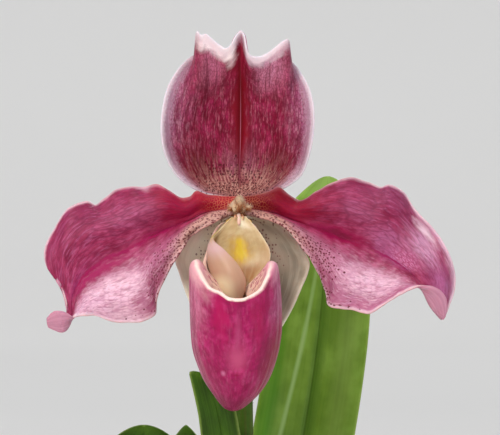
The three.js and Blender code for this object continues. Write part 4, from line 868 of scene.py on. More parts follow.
def staminodePiece():
    alongAt = crowded(80)
    acrossAt = crowded(110)
    grid = gridOn(staminode["rails"], alongAt, acrossAt)
    share = gridShare(alongAt, acrossAt, [-1, -0.6, -0.2, 0.2, 0.6, 1])
    piece = closedSheet("staminode", setBack(grid), share, staminode, (0, -1, 0), flowerAt)
    return stand(piece, ["staminode"])


def joined(parts):
    points = []
    faces = []
    fields = {"place": [], "share": []}
    count = 0
    for part in parts:
        points.append(part["points"])
        faces += [[corner + count for corner in face] for face in part["faces"]]
        for field in fields:
            fields[field].append(part[field])
        count += len(part["points"])
    return np.concatenate(points), faces, {field: np.concatenate(fields[field]) for field in fields}


# A closed stalk along a path, its section's radii read along it, ribbed and a little uneven.
def tube(path, radii, rows, around, ribs=0, ribDepth=0.0, rough=0.0, seed=1, ends=0.04):
    t = np.linspace(0, 1, rows)
    centre = smoothThrough(np.array(path, float), t)
    size = smoothThrough(np.array(radii, float), t)
    closing = np.sqrt(np.clip(np.minimum(t, 1 - t) / ends, 0.02, 1) * (2 - np.clip(np.minimum(t, 1 - t) / ends, 0.02, 1)))
    tangent = unit(np.gradient(centre, axis=0))
    sideways = unit(np.array([1.0, 0, 0]) - tangent * tangent[:, :1])
    upright = np.cross(tangent, sideways)
    angle = 2 * np.pi * np.arange(around) / around
    swell = 1 + ribDepth * np.cos(ribs * angle)[None, :] + rough * ripple(t[:, None] * 6, np.cos(angle)[None, :], seed)
    scale = (size * closing[:, None])[:, None, :] * swell[..., None]
    points = centre[:, None, :] + sideways[:, None, :] * (np.cos(angle)[None, :] * scale[..., 0])[..., None]
    points = points + upright[:, None, :] * (np.sin(angle)[None, :] * scale[..., 1])[..., None]
    normals = unit(points - centre[:, None, :])
    index = np.arange(rows * around).reshape(rows, around)
    turned = np.roll(index, -1, axis=1)
    faces = np.stack([index[:-1], turned[:-1], turned[1:], index[1:]], axis=-1).reshape(-1, 4).tolist()
    foot = rows * around
    for k in range(around):
        after = (k + 1) % around
        faces.append([foot, int(index[0, after]), int(index[0, k])])
        faces.append([foot + 1, int(index[-1, k]), int(index[-1, after])])
    length = np.concatenate([[0], np.cumsum(np.linalg.norm(np.diff(centre, axis=0), axis=1))])
    place = np.stack(np.broadcast_arrays(length[:, None], angle[None, :] * size.mean(), 5.0), axis=-1)
    share = np.stack(np.broadcast_arrays(t[:, None], angle[None, :] / np.pi - 1, 1.0), axis=-1)
    all_ = np.concatenate([points.reshape(-1, 3), centre[:1], centre[-1:]])
    ends_ = np.array([[0, 0, 5.0], [length[-1], 0, 5.0]]), np.array([[0, 0, 1.0], [1, 0, 1.0]])
    return {"points": all_, "faces": faceOut(faces, all_), "normals": normals.reshape(-1, 3),
            "place": np.concatenate([place.reshape(-1, 3), ends_[0]]),
            "share": np.concatenate([share.reshape(-1, 3), ends_[1]])}


# An uneven rounded lump, from an icosphere pulled to three radii.
def lump(centre, radii, detail, rough, seed):
    shape = bmesh.new()
    bmesh.ops.create_icosphere(shape, subdivisions=detail, radius=1.0)
    ball = np.array([vert.co for vert in shape.verts])
    faces = [[vert.index for vert in face.verts] for face in shape.faces]
    shape.free()
    swell = 1 + rough * ripple(ball[:, 0] * 1.6 + ball[:, 2], ball[:, 1] * 1.6 - ball[:, 2], seed)
    points = ball * np.array(radii) * swell[:, None] + np.array(centre, float)
    place = ball * np.mean(radii) + seed
    return {"points": points, "faces": faces, "normals": unit(ball / np.array(radii)), "place": place,
            "share": np.stack([ball[:, 2] * 0.5 + 0.5, ball[:, 0], np.ones(len(ball))], axis=-1)}


# Short hairs as slim closed spikes that stand on a surface and lean a little at random.
def hairs(part, count, length, wide, seed, chosen=None):
    draw = np.random.default_rng(seed)
    roots = np.arange(len(part["normals"])) if chosen is None else np.flatnonzero(chosen)
    picked = draw.choice(roots, count)
    base = part["points"][picked] + draw.normal(0, 0.12, (count, 3))
    base = base - part["normals"][picked] * 0.12
    aim = unit(part["normals"][picked] + draw.normal(0, 0.35, (count, 3)))
    sideways = unit(np.cross(aim, draw.normal(size=(count, 3))))
    other = np.cross(aim, sideways)
    reach = length * draw.uniform(0.6, 1.1, count)
    points = np.empty((count, 4, 3))
    for corner in range(3):
        turn = 2 * np.pi * corner / 3
        points[:, corner] = base + wide * (sideways * math.cos(turn) + other * math.sin(turn))
    points[:, 3] = base + aim * reach[:, None]
    faces = []
    for k in range(count):
        a = 4 * k
        faces += [[a, a + 2, a + 1], [a, a + 1, a + 3], [a + 1, a + 2, a + 3], [a + 2, a, a + 3]]
    place = np.repeat(part["place"][picked], 4, axis=0)
    share = np.repeat(part["share"][picked], 4, axis=0)
    return {"points": points.reshape(-1, 3), "faces": faces, "place": place, "share": share}


column = {
    "knob": {"centre": (0.35, -6.0, 1.4), "radii": (1.2, 2.2, 2.3)},
    "arms": (-1.6, 2.3),
    "body": ["#9a5634", "#b67850", "#cc9c78"], "cloud": 0.6,
    "glow": 0.3, "roughness": 0.6, "sheen": 0.15, "bump": 0.1, "shine": 0.2,
    "patches": [((0.85, 0.1), (0.34, 1.2), "#dab896", 1.4), ((0.2, 0.0), (0.34, 1.2), "#8e4c24", 1.0)],
    "hairs": 800, "hairLength": 1.0, "hairWide": 0.07,
}
tooth = {"body": ["#d9a894", "#ecc8b8"], "glow": 0.4, "roughness": 0.35, "coat": 0.2}
pollen = {"body": ["#d8a93c", "#e2ba55"], "glow": 0.3, "roughness": 0.3, "coat": 0.3, "cloud": 0.8}


def columnPiece():
    trunk = tube([[0, 2.4, 0.6], [0, 0, 1], [0.2, -4, 1.4], [0.3, -7.6, 0.9]],
                 [[1.5, 1.5], [1.9, 2], [2.1, 1.9], [1.5, 1.4]], 40, 40, rough=0.03)
    knob = lump(column["knob"]["centre"], column["knob"]["radii"], 4, 0.13, 5)
    arms = [lump((x, -5.4, 0.9), (1.0, 1.3, 0.8), 3, 0.16, 7) for x in column["arms"]]
    neck = tube([[0.2, -4.6, 0.2], [0.2, -4.8, -1.4], [0.2, -5, -2.4]], [[1.2, 1.2], [1, 1], [1.2, 1.2]], 16, 24)
    stigma = lump((0.2, -5, -2.6), (2.6, 2.4, 0.9), 4, 0.04, 8)
    fur = [hairs(knob, column["hairs"], column["hairLength"], column["hairWide"], 11, knob["points"][:, 1] < -4)]
    fur += [hairs(arm, 160, 0.9, column["hairWide"], 12) for arm in arms]
    teeth = []
    for x, lower, wide in ((0.25, -3.5, 0.45), (-0.75, -1.9, 0.26), (1.25, -2.1, 0.26)):
        teeth.append(tube([[x * 0.7, -7.2, -0.6], [x, -9.2, -1.4], [x, -10.4, lower + 0.8], [x, -10.5, lower]],
                          [[wide, wide], [wide * 1.1, wide], [wide, wide * 0.8], [0.12, 0.12]], 20, 14))
    points, faces, fields = joined([trunk, knob, *arms, neck, stigma, *fur, *teeth[1:]])
    piece = makeObject("column", setBack(points) + flowerAt, faces, fields, [column["skin"]])
    # the small pale tooth where the shield hangs from the column
    points, faces, fields = joined(teeth[:1])
    hinge = makeObject("columnTooth", setBack(points) + flowerAt, faces, fields, [tooth["skin"]])
    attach(hinge, "root")
    return stand(piece, ["column"])


def polliniumPiece(name, node, side):
    ball = lump((0.2 + side * 2.5, -7.9, -2.9), (0.85, 0.95, 1.05), 4, 0.05, 3)
    cleft = np.exp(-((ball["points"][:, 1] + 7.9) / 0.18) ** 2) * 0.12     # each mass is cleft in two
    ball["points"] -= ball["normals"] * cleft[:, None]
    points, faces, fields = joined([ball])
    piece = makeObject(name, setBack(points) + flowerAt, faces, fields, [pollen["skin"]])
    return stand(piece, [node])


stem = {
    "scape": [[0.6, 8, 87], [1.2, 4, 115], [1.6, 1.5, 150], [1.2, 0.5, 178], [0.8, 0.8, 196]],
    "scapeSize": [[2.64, 2.64], [2.45, 2.45], [2.4, 2.4], [2.4, 2.4], [2.4, 2.4]],
    "ovary": [[0.8, 0.8, 196.5], [0.6, 0.2, 206], [0.3, -4.5, 214.8], [0, -10.5, 219.2], [0, -17, 220.2]],
    "ovarySize": [[2.2, 2.2], [2.6, 2.6], [2.75, 2.75], [2.6, 2.6], [3.6, 3.6]],
    "body": ["#385612", "#446418", "#527222"], "cloud": 6.0, "glow": 0.15, "roughness": 0.55, "sheen": 0.06,
    "shine": 0.2,
    "veins": [{"count": (3.0, 12.0), "from": 0.5, "to": 0.7, "tint": "#6b2f2c", "amount": 0.35}],
}
ovary = {
    **stem, "body": ["#56702c", "#66803a", "#748c46"],
    "patches": [((1.0, 0.0), (0.16, 6.0), "#b27a52", 1.0), ((0.97, 0.0), (0.08, 6.0), "#a8503c", 0.6)],
}


def stalkPiece(name, node, path, size, look, ribs, ribDepth, hairCount):
    stalk = tube(path, size, 150, 48, ribs=ribs, ribDepth=ribDepth, rough=0.012, seed=4, ends=0.015)
    fur = hairs(stalk, hairCount, 0.55, 0.035, 17)
    points, faces, fields = joined([stalk, fur])
    piece = makeObject(name, points, faces, fields, [look["skin"]])
    return stand(piece, [node])


bract = {
    "body": ["#5d7a32", "#6a883c", "#7a9648"], "thick": 0.8, "glow": 0.2, "roughness": 0.5, "sheen": 0.1,
    "veins": [{"count": (1.5, 12.0), "from": 0.5, "to": 0.68, "tint": "#3f5c22", "amount": 0.6}],
    "patches": [((1.0, 0.0), (0.3, 1.5), "#8c7c48", 0.5)],
    "rims": [{"wide": 0.5, "ragged": 0.3, "tint": "#a8a468", "amount": 0.6}],
}


def bractPiece():
    around = np.linspace(-2.2, 2.2, 7)
    rails = []
    for angle in around:
        tip = 213 - 7 * abs(angle) / 2.2
        heights = [196, 200, 205, 209, tip]
        rail = []
        for i, (height, radius) in enumerate(zip(heights, (3.6, 4.6, 5, 4.8, 4.6))):
            lean = 1.6 + i * 0.55
            reach = min(height, tip - (4 - i) * 0.4)
            rail.append([0.6 + radius * math.sin(angle), lean + radius * math.cos(angle), reach])
        rails.append(rail)
    alongAt = crowded(60)
    acrossAt = crowded(70)
    grid = gridOn(rails, alongAt, acrossAt)
    share = gridShare(alongAt, acrossAt, np.linspace(-1, 1, 7))
    grid[..., 1] += 0.4 * np.exp(-(share[..., 1] / 0.06) ** 2)   # keel
    piece = closedSheet("bract", grid, share, bract, toward=(0, -1, 0))
    return stand(piece, ["bract"])


def crownPiece():
    profile = [[5.5, 5.5], [6, 6], [5.6, 5.6], [4.6, 4.6], [3, 3]]
    base = tube([[0, 8, 77.4], [0, 8, 79.5], [0, 8, 82], [0, 8, 84.4], [0, 8, 86.3]], profile, 40, 60, rough=0.05,
                ribs=5, ribDepth=0.03, ends=0.1)
    points, faces, fields = joined([base])
    piece = makeObject("crown", points, faces, fields, [stem["skin"]])
    return stand(piece, ["crown"])


# A strap leaf: midrib path, half widths along it, the way its face looks, its channel depth and its tip.

leafShared = {
    "thick": 1.6, "thin": 0.4, "thinning": 4.0, "glow": 0.12, "roughness": 0.4, "shine": 0.2, "coat": 0.03,
    "sheen": 0.0, "bump": 0.05, "grain": 0.5, "cloud": 9.0, "drift": 0.06,
    "rims": [{"wide": 0.5, "ragged": 0.2, "tint": "#9db65a", "amount": 0.5}],
    "reverse": {"count": (2, 16), "tones": ("#7d9a4c", "#6c8b3e")},
}

# Two copies of one leaf skin in two painted light levels: the first tone is painted as lit, the second is painted
# darker as shade, for the leaves that lie behind, in the flower's shadow.
leafLitAndShadedTones = {
    "bright": {
        "body": ["#5e7f22", "#6c8e2c", "#7c9e3c"],
        "veins": [{"count": (1.2, 11.0), "from": 0.42, "to": 0.72, "tint": "#93b84c", "amount": 0.18},
                  {"count": (2.0, 24.0), "from": 0.46, "to": 0.74, "tint": "#4a761a", "amount": 0.1, "seed": 5.0}],
        # the first patch is painted shade in the midrib's channel
        "patches": [((0.4, 0.05), (0.6, 0.22), "#406410", 1.0), ((0.4, -0.8), (0.5, 0.3), "#4e8812", 0.9),
                    ((0.5, 0.6), (0.5, 0.35), "#7c9446", 0.5), ((0.1, 0.0), (0.16, 2.0), "#8fab62", 0.6),
                    ((0.95, 0.0), (0.14, 2.0), "#8aae58", 0.6)],
        # the first line is painted shade in the midrib groove; the second is a painted reflection along a ridge of the
        # channel
        "lines": [((0.5, 0.0), (0.9, 0.03), "#3f5c14", 0.7), ((0.52, -0.36), (0.34, 0.075), "#98b86c", 1.0, 1.1)],
    },
    "dark": {
        "body": ["#223a00", "#2c4a04", "#385a0a"],
        "veins": [{"count": (1.2, 12.0), "from": 0.42, "to": 0.72, "tint": "#4c741a", "amount": 0.3},
                  {"count": (2.0, 24.0), "from": 0.46, "to": 0.74, "tint": "#243c0a", "amount": 0.15, "seed": 5.0}],
        # the first patch is painted shade in the midrib's channel
        "patches": [((0.5, 0.0), (0.8, 0.1), "#2a440c", 0.6), ((0.1, 0.0), (0.16, 2.0), "#7c9a52", 0.5),
                    ((1.0, 0.0), (0.05, 2.0), "#4e7410", 0.6)],
        # this line is painted shade in the midrib groove
        "lines": [((0.5, 0.0), (0.9, 0.025), "#1e3408", 0.8)],
    },
}

leaves = {
    "leaf_1": {
        "path": [[2, 17, 82], [5, 20, 105], [12, 23, 137], [17.2, 26, 163], [20.8, 32, 186], [22.9, 39, 208],
                 [23.5, 43.5, 221.5], [23.7, 45, 229.6]],
        "halfWidths": [4.5, 8.5, 12, 13.2, 13.1, 12.4, 11, 9.6],
        "face": [[0, -1, 0.1], [0, -1, 0.2], [0, -1, 0.1], [-0.1, -1, 0]],
        "channel": [3.5, 4, 3.5, 3, 2.5, 2, 0.2],
        "tip": 10.0, "tipPower": 0.55, "tone": "bright", "wave": 2,
    },
    "leaf_2": {
        "path": [[-4.5, -2.5, 82], [-4.2, -6, 105], [-3, -9.5, 135], [-3, -11.3, 156], [-4.8, -12.2, 168],
                 [-7.8, -12.8, 178.8]],
        "halfWidths": [4, 6.4, 6.6, 5.6, 4.9, 4.2],
        "face": [[-0.4, -1, 0.1], [-0.4, -1, 0.1], [-0.3, -1, 0], [0.1, -1, 0.1]],
        "channel": [1.4, 2.2, 2.4, 2, 1.5, 0.3],
        "tip": 0.9, "tipPower": 0.3, "skew": 3.4, "tone": "dark", "wave": 3,
    },
    "leaf_3": {
        "path": [[-11.5, 5.5, 82], [-17, 6, 104], [-22, 6, 128], [-24.6, 5, 150], [-24.2, 3, 165.6]],
        "halfWidths": [5, 9, 11.5, 12, 11],
        "face": [[1, -0.6, 0.2], [0.7, -1, 0.2], [0.4, -1, 0.1], [0.2, -1, 0.2]],
        "channel": [3.5, 3.5, 3, 2.5, 0.8],
        "tip": 7.0, "tipPower": 0.5, "tone": "dark", "wave": 4,
    },
    "leaf_4": {
        "path": [[10, 6, 82], [22, 3, 103], [42, -2, 121], [64, -7, 126], [84, -12, 115], [95, -15, 99]],
        "halfWidths": [5, 9.5, 12.5, 13.5, 11.5, 7],
        "face": [[-1, 0.1, 0.7], [-0.8, 0, 1], [-0.3, 0, 1], [0.3, 0, 1]],
        "channel": [3.5, 4, 3, 2.4, 1.8, 0.3],
        "tip": 10.0, "tipPower": 0.65, "tone": "bright", "wave": 5,
    },
    "leaf_5": {
        "path": [[6.5, -6, 82], [13, -18, 102], [21, -37, 118], [29, -58, 121], [35, -77, 110], [39, -87, 95]],
        "halfWidths": [4, 9, 12, 12.8, 10.5, 7],
        "face": [[0, 1, 0.6], [-0.2, 0.8, 1], [-0.1, 0.3, 1], [0.1, -0.4, 1]],
        "channel": [3, 3.6, 3, 2.4, 1.6, 0.3],
        "tip": 10.0, "tipPower": 0.65, "tone": "bright", "wave": 6,
    },
    "leaf_6": {
        "path": [[-5, 20, 82], [-9, 27, 104], [-12, 33, 128], [-13.6, 38, 147], [-14, 41, 163.6]],
        "halfWidths": [4.5, 8.5, 10, 8.4, 5],
        "face": [[0.3, -1, 0.2], [0.2, -1, 0.3], [0.1, -1, 0.2], [0, -1, 0.2]],
        "channel": [3, 3.6, 3, 2, 0.3],
        "tip": 8.0, "tipPower": 0.65, "tone": "dark", "wave": 7,
    },
    "leaf_7": {
        "path": [[-13.5, 13, 80], [-24, 17, 104], [-42, 22, 126], [-62, 27, 132], [-81, 32, 122],
                 [-92, 35, 106]],
        "halfWidths": [4.5, 9.5, 12.5, 13.5, 11.5, 7],
        "face": [[1, -0.2, 0.7], [0.8, 0, 1], [0.2, 0, 1], [-0.4, 0.1, 1]],
        "channel": [3, 4, 3, 2.4, 1.8, 0.3],
        "tip": 10.0, "tipPower": 0.65, "tone": "bright", "wave": 8,
    },
}


def leafPiece(node, spec):
    along = crowded(120, lip=(0.002, 0.006, 0.013, 0.024, 0.036))
    across = np.linspace(-1, 1, 51)
    across = np.sign(across) * (1 - (1 - np.abs(across)) ** 1.25)
    centre = smoothThrough(np.array(spec["path"], float), along)
    tangent = unit(np.gradient(centre, axis=0))
    facing = smoothThrough(np.array(spec["face"], float), along)
    normal = unit(facing - tangent * (facing * tangent).sum(axis=1, keepdims=True))
    sideways = np.cross(tangent, normal)
    half = smoothThrough([[w] for w in spec["halfWidths"]], along)[:, 0]
    rise = smoothThrough([[c] for c in spec["channel"]], along)[:, 0]
    steps = np.linalg.norm(np.diff(centre, axis=0), axis=1)
    toTip = np.concatenate([np.cumsum(steps[::-1])[::-1], [0.0]])
    half = half * np.clip(toTip / spec["tip"], 0.004, 1) ** spec["tipPower"]
    v = across[None, :]
    flatten = smoothStep(0, 0.7 * spec["tip"], toTip)[:, None]   # the channel runs out before the tip
    lift = rise[:, None] * np.abs(v) ** 1.4
    # a sharp groove over the midrib, and shallow parallel ribs
    lift = lift - 0.35 * np.exp(-(v / 0.05) ** 2) + 0.03 * np.cos(v * 40)
    sway = ripple(along[:, None] * 2.2, v * 0.7, spec["wave"])
    lift = lift + 0.8 * sway * smoothStep(0.2, 1.0, np.abs(v)) * smoothStep(0.04, 0.25, along)[:, None]
    lift = lift * flatten
    askew = half / spec["halfWidths"][-1] * np.clip(1 - toTip / 9, 0, 1)   # a tip bitten off at a slant
    slip = -spec.get("skew", 0) * v * askew[:, None]
    grid = centre[:, None, :] + sideways[:, None, :] * (v * half[:, None])[..., None]
    grid = grid + normal[:, None, :] * lift[..., None] + tangent[:, None, :] * slip[..., None]
    share = np.stack(np.meshgrid(along, across, indexing="ij"), axis=-1)
    look = {**leafShared, **leafLitAndShadedTones[spec["tone"]], "skin": leafLitAndShadedSkins[spec["tone"]]}
    toward = normal[len(normal) // 2]
    name = "leaf" + node[-1]
    return stand(closedSheet(name, grid, share, look, toward=toward), [node])


mix = {"top": 74.0, "rise": 3.0, "radius": 45.5, "foot": 6.5, "footRadius": 31.0, "chips": 620, "perlite": 90}


def barkSkin():
    # pine bark, chipped and weathered: dark fibrous plates with paler broken edges
    material, tree = emptyMaterial("pine bark, chipped and damp")
    where = add(tree, "Attribute", {"attribute_name": "place"}, take="Vector")
    layers = add(tree, "VectorMath", {"operation": "MULTIPLY", 1: (0.25, 0.25, 1.6)}, {0: where})
    fibre = add(tree, "TexNoise", {"Scale": 1.0, "Detail": 6.0, "Roughness": 0.65}, {"Vector": layers})
    stops = [(0.3, "#22140c"), (0.48, "#4a2c1a"), (0.6, "#6b4428"), (0.75, "#93694a")]
    tone = add(tree, "ValToRGB", {"stops": stops}, {0: fibre})
    finish(tree, {"Roughness": 0.85, "IOR": 1.5, "Specular IOR Level": 0.35}, {"Base Color": tone}, fibre, 0.5)
    return material


def perliteSkin():
    # perlite, puffed by heat: chalk white and full of pores
    material, tree = emptyMaterial("perlite, puffed and porous")
    where = add(tree, "Attribute", {"attribute_name": "place"}, take="Vector")
    pores = add(tree, "TexVoronoi", {"Scale": 1.4}, {"Vector": where}, "Distance")
    tone = add(tree, "ValToRGB", {"stops": [(0.1, "#b9b2a6"), (0.5, "#e6e2d9")]}, {0: pores})
    finish(tree, {"Roughness": 0.9}, {"Base Color": tone}, pores, 0.25)
    return material


def brokenChip(draw, centre, size, flat):
    shape = bmesh.new()
    for _ in range(16):
        spread = draw.uniform(-1, 1, 3)
        spread = spread / max(1.0, np.abs(spread).sum() / 1.7)
        shape.verts.new(spread * size * np.array([1, 0.62, flat]))
    hull = bmesh.ops.convex_hull(shape, input=shape.verts)
    bmesh.ops.delete(shape, geom=[v for v in hull["geom_interior"] if isinstance(v, bmesh.types.BMVert)], context="VERTS")
    shape.verts.index_update()
    points = np.array([vert.co for vert in shape.verts])
    faces = [[vert.index for vert in face.verts] for face in shape.faces]
    shape.free()
    axis = unit(np.append(draw.normal(0, 0.35, 2), 1.0))
    spin = draw.uniform(0, 2 * np.pi)
    helper = unit(np.cross(axis, [math.cos(spin), math.sin(spin), 0.1]))
    turned = np.stack([helper, np.cross(axis, helper), axis])
    place = points + draw.uniform(0, 300, 3)
    return {"points": points @ turned + centre, "faces": faceOut(faces, points), "place": place,
            "share": np.zeros_like(points)}


def pottingMix():
    draw = np.random.default_rng(41)
    # the bed below, closed and a little domed, then loose chips over its top
    profile = [[0, mix["foot"]], [mix["footRadius"], mix["foot"]], [mix["radius"] - 4.6, 60.0],
               [mix["radius"] - 1.0, mix["top"] - 3], [mix["radius"] - 4, mix["top"] - 2], [0, mix["top"] - 1]]
    bed = latheRings(profile, 72)
    bed["points"][:, 2] += np.where(bed["points"][:, 2] > 65, 0.8 * ripple(bed["points"][:, 0] / 9, bed["points"][:, 1] / 9, 6), 0)
    parts = [bed]
    bands = [0] * len(bed["faces"])
    for k in range(mix["chips"] + mix["perlite"]):
        isPerlite = k >= mix["chips"]
        layer = k / mix["chips"] if not isPerlite else draw.uniform(0.5, 1)
        spread = math.sqrt(draw.uniform(0, 1)) * (mix["radius"] - 4.0)
        angle = draw.uniform(0, 2 * math.pi)
        size = draw.uniform(2.4, 5.6) if not isPerlite else draw.uniform(1.0, 1.9)
        spread = min(spread, mix["radius"] - 0.6 - size)
        dome = mix["rise"] * math.cos(min(spread / mix["radius"], 1) * math.pi / 2)
        height = mix["top"] - 3.2 + 2.6 * layer + dome * 0.8 + draw.uniform(-0.5, 0.5)
        centre = np.array([spread * math.cos(angle), spread * math.sin(angle), height])
        chip = brokenChip(draw, centre, size, draw.uniform(0.3, 0.5) if not isPerlite else 0.8)
        parts.append(chip)
        bands += [1 if isPerlite else 0] * len(chip["faces"])
    points, faces, fields = joined(parts)
    piece = makeObject("barkMix", points, faces, fields, [barkSkin(), perliteSkin()], bands)
    piece.data.shade_flat()
    return stand(piece, ["potting_mix"])


pot = {
    "height": 84.0, "topRadius": 52.0, "footRadius": 36.0, "wall": 5.0, "floor": 6.0, "band": 20.0, "step": 4.0,
    "drainRadius": 5.0, "drainRing": 18.0, "drains": 3, "sides": 160,
}


# A closed turned body from a profile of [radius, height] that starts and ends on the axis.
def latheRings(profile, sides):
    points = []
    rings = []
    for radius, height in profile:
        if radius == 0:
            rings.append([len(points)] * sides)
            points.append([0, 0, height])
        else:
            rings.append([len(points) + k for k in range(sides)])
            for k in range(sides):
                angle = 2 * math.pi * k / sides
                points.append([radius * math.cos(angle), radius * math.sin(angle), height])
    faces = []
    for low, high in zip(rings, rings[1:]):
        for k in range(sides):
            after = (k + 1) % sides
            corners = [low[k], low[after], high[after], high[k]]
            faces.append(list(dict.fromkeys(corners)))
    points = np.array(points, float)
    lengths = np.cumsum([0.0] + [math.dist(a, b) for a, b in zip(profile, profile[1:])])
    along = np.concatenate([[length] * (1 if radius == 0 else sides) for length, (radius, _) in zip(lengths, profile)])
    place = np.stack([points[:, 0], points[:, 1], points[:, 2]], axis=-1)
    share = np.stack([along, np.arctan2(points[:, 1], points[:, 0]), np.ones(len(points))], axis=-1)
    return {"points": points, "faces": faceOut(faces, points), "place": place, "share": share}


# Rounds every corner of a profile of [x, y] by short arcs; a radius of 0 keeps a corner.
def rounded(corners, steps=6):
    line = []
    for k, (x, y, radius) in enumerate(corners):
        if radius == 0 or k in (0, len(corners) - 1):
            line.append([x, y])
            continue
        here = np.array([x, y])
        before = np.array(corners[k - 1][:2]) - here
        after = np.array(corners[k + 1][:2]) - here
        start = here + before / np.linalg.norm(before) * radius
        end = here + after / np.linalg.norm(after) * radius
        for i in range(steps + 1):
            t = i / steps
            line.append(((1 - t) ** 2 * start + 2 * t * (1 - t) * here + t ** 2 * end).tolist())
    return line


# Splits long stretches of a profile, so that the wall can carry fine throwing marks.
def stretched(line, step):
    fine = [line[0]]
    for a, b in zip(line, line[1:]):
        count = max(1, round(math.dist(a, b) / step))
        for i in range(1, count + 1):
            fine.append([a[0] + (b[0] - a[0]) * i / count, a[1] + (b[1] - a[1]) * i / count])
    return fine


def terracottaSkin():
    # red clay, jiggered and fired without glaze: matte and open-grained, with pale lime bloom where water dries
    material, tree = emptyMaterial("terracotta, jiggered and fired unglazed")
    where = add(tree, "Attribute", {"attribute_name": "place"}, take="Vector")
    grit = add(tree, "TexNoise", {"Scale": 1.6, "Detail": 6.0, "Roughness": 0.7}, {"Vector": where})
    clay = add(tree, "ValToRGB", {"stops": [(0.25, "#9c5334"), (0.55, "#b5663f"), (0.8, "#c67e57")]}, {0: grit})
    flame = add(tree, "TexNoise", {"Scale": 0.035, "Detail": 3.0}, {"Vector": where})
    blush = add(tree, "MapRange", {"From Min": 0.4, "From Max": 0.7, "To Max": 0.5}, {"Value": flame})
    clay = add(tree, "Mix", {"data_type": "RGBA", 7: linear("#c98a63")}, {0: blush, 6: clay}, 2)
    cloud = add(tree, "TexNoise", {"Scale": 0.09, "Detail": 6.0, "Roughness": 0.7}, {"Vector": where})
    level = add(tree, "SeparateXYZ", {}, {0: where}, "Z")
    wick = add(tree, "MapRange", {"From Min": 0.0, "From Max": 60.0, "To Min": 0.16, "To Max": -0.05}, {"Value": level})
    damp = add(tree, "Math", {"operation": "ADD"}, {0: cloud, 1: wick})
    bloom = add(tree, "MapRange", {"From Min": 0.56, "From Max": 0.74, "To Max": 0.55}, {"Value": damp})
    clay = add(tree, "Mix", {"data_type": "RGBA", 7: linear("#d9c3ae")}, {0: bloom, 6: clay}, 2)
    finish(tree, {"Roughness": 0.88, "IOR": 1.5, "Specular IOR Level": 0.3}, {"Base Color": clay}, grit, 0.12)
    return material


def potPiece():
    bandFoot = pot["height"] - pot["band"]
    taper = (pot["topRadius"] - pot["step"] - pot["footRadius"]) / bandFoot

    def outerAt(height):
        return pot["footRadius"] + taper * height

    corners = [
        [0, 0, 0], [pot["footRadius"], 0, 1.4], [outerAt(bandFoot), bandFoot, 1.2],
        [pot["topRadius"] - 0.6, bandFoot, 1.6], [pot["topRadius"], pot["height"], 2.2],
        [pot["topRadius"] - pot["wall"], pot["height"] - 0.4, 1.8],
        [outerAt(bandFoot) - pot["wall"], bandFoot - 4, 2.5],
        [outerAt(pot["floor"]) - pot["wall"], pot["floor"], 3], [0, pot["floor"], 0],
    ]
    profile = stretched(rounded(corners), 1.2)
    body = latheRings(profile, pot["sides"])
    radius = np.hypot(body["points"][:, 0], body["points"][:, 1])
    height = body["points"][:, 2]
    outside = (radius > outerAt(height) - 1.5) & (height > 2)
    rings = 0.07 * np.sin(height * 2.1) + 0.09 * ripple(height / 7, body["share"][:, 1] * 0.15, 9)
    dents = 0.12 * ripple(height / 30, np.cos(body["share"][:, 1]) * 1.5, 10)
    swell = np.where(outside, rings + dents, 0) / np.maximum(radius, 1)
    body["points"][:, :2] *= (1 + swell)[:, None]
    piece = makeObject("pot", body["points"], body["faces"], {"place": body["place"]}, [terracottaSkin()])
    for k in range(pot["drains"]):
        angle = 2 * math.pi * k / pot["drains"]
        ring = latheRings([[0, -4], [pot["drainRadius"], -4], [pot["drainRadius"], 12], [0, 12]], 40)
        spot = np.array([pot["drainRing"] * math.cos(angle), pot["drainRing"] * math.sin(angle), 0])
        drill = makeObject("drill", ring["points"] + spot, ring["faces"], {"place": ring["place"]})
        cut = piece.modifiers.new("drain", "BOOLEAN")
        cut.object = drill
        cut.solver = "EXACT"
        graph = bpy.context.evaluated_depsgraph_get()
        bored = bpy.data.meshes.new_from_object(piece.evaluated_get(graph))
        piece.modifiers.clear()
        piece.data = bored
        bpy.data.objects.remove(drill)
    piece.data.shade_smooth()
    return stand(piece, ["pot"])


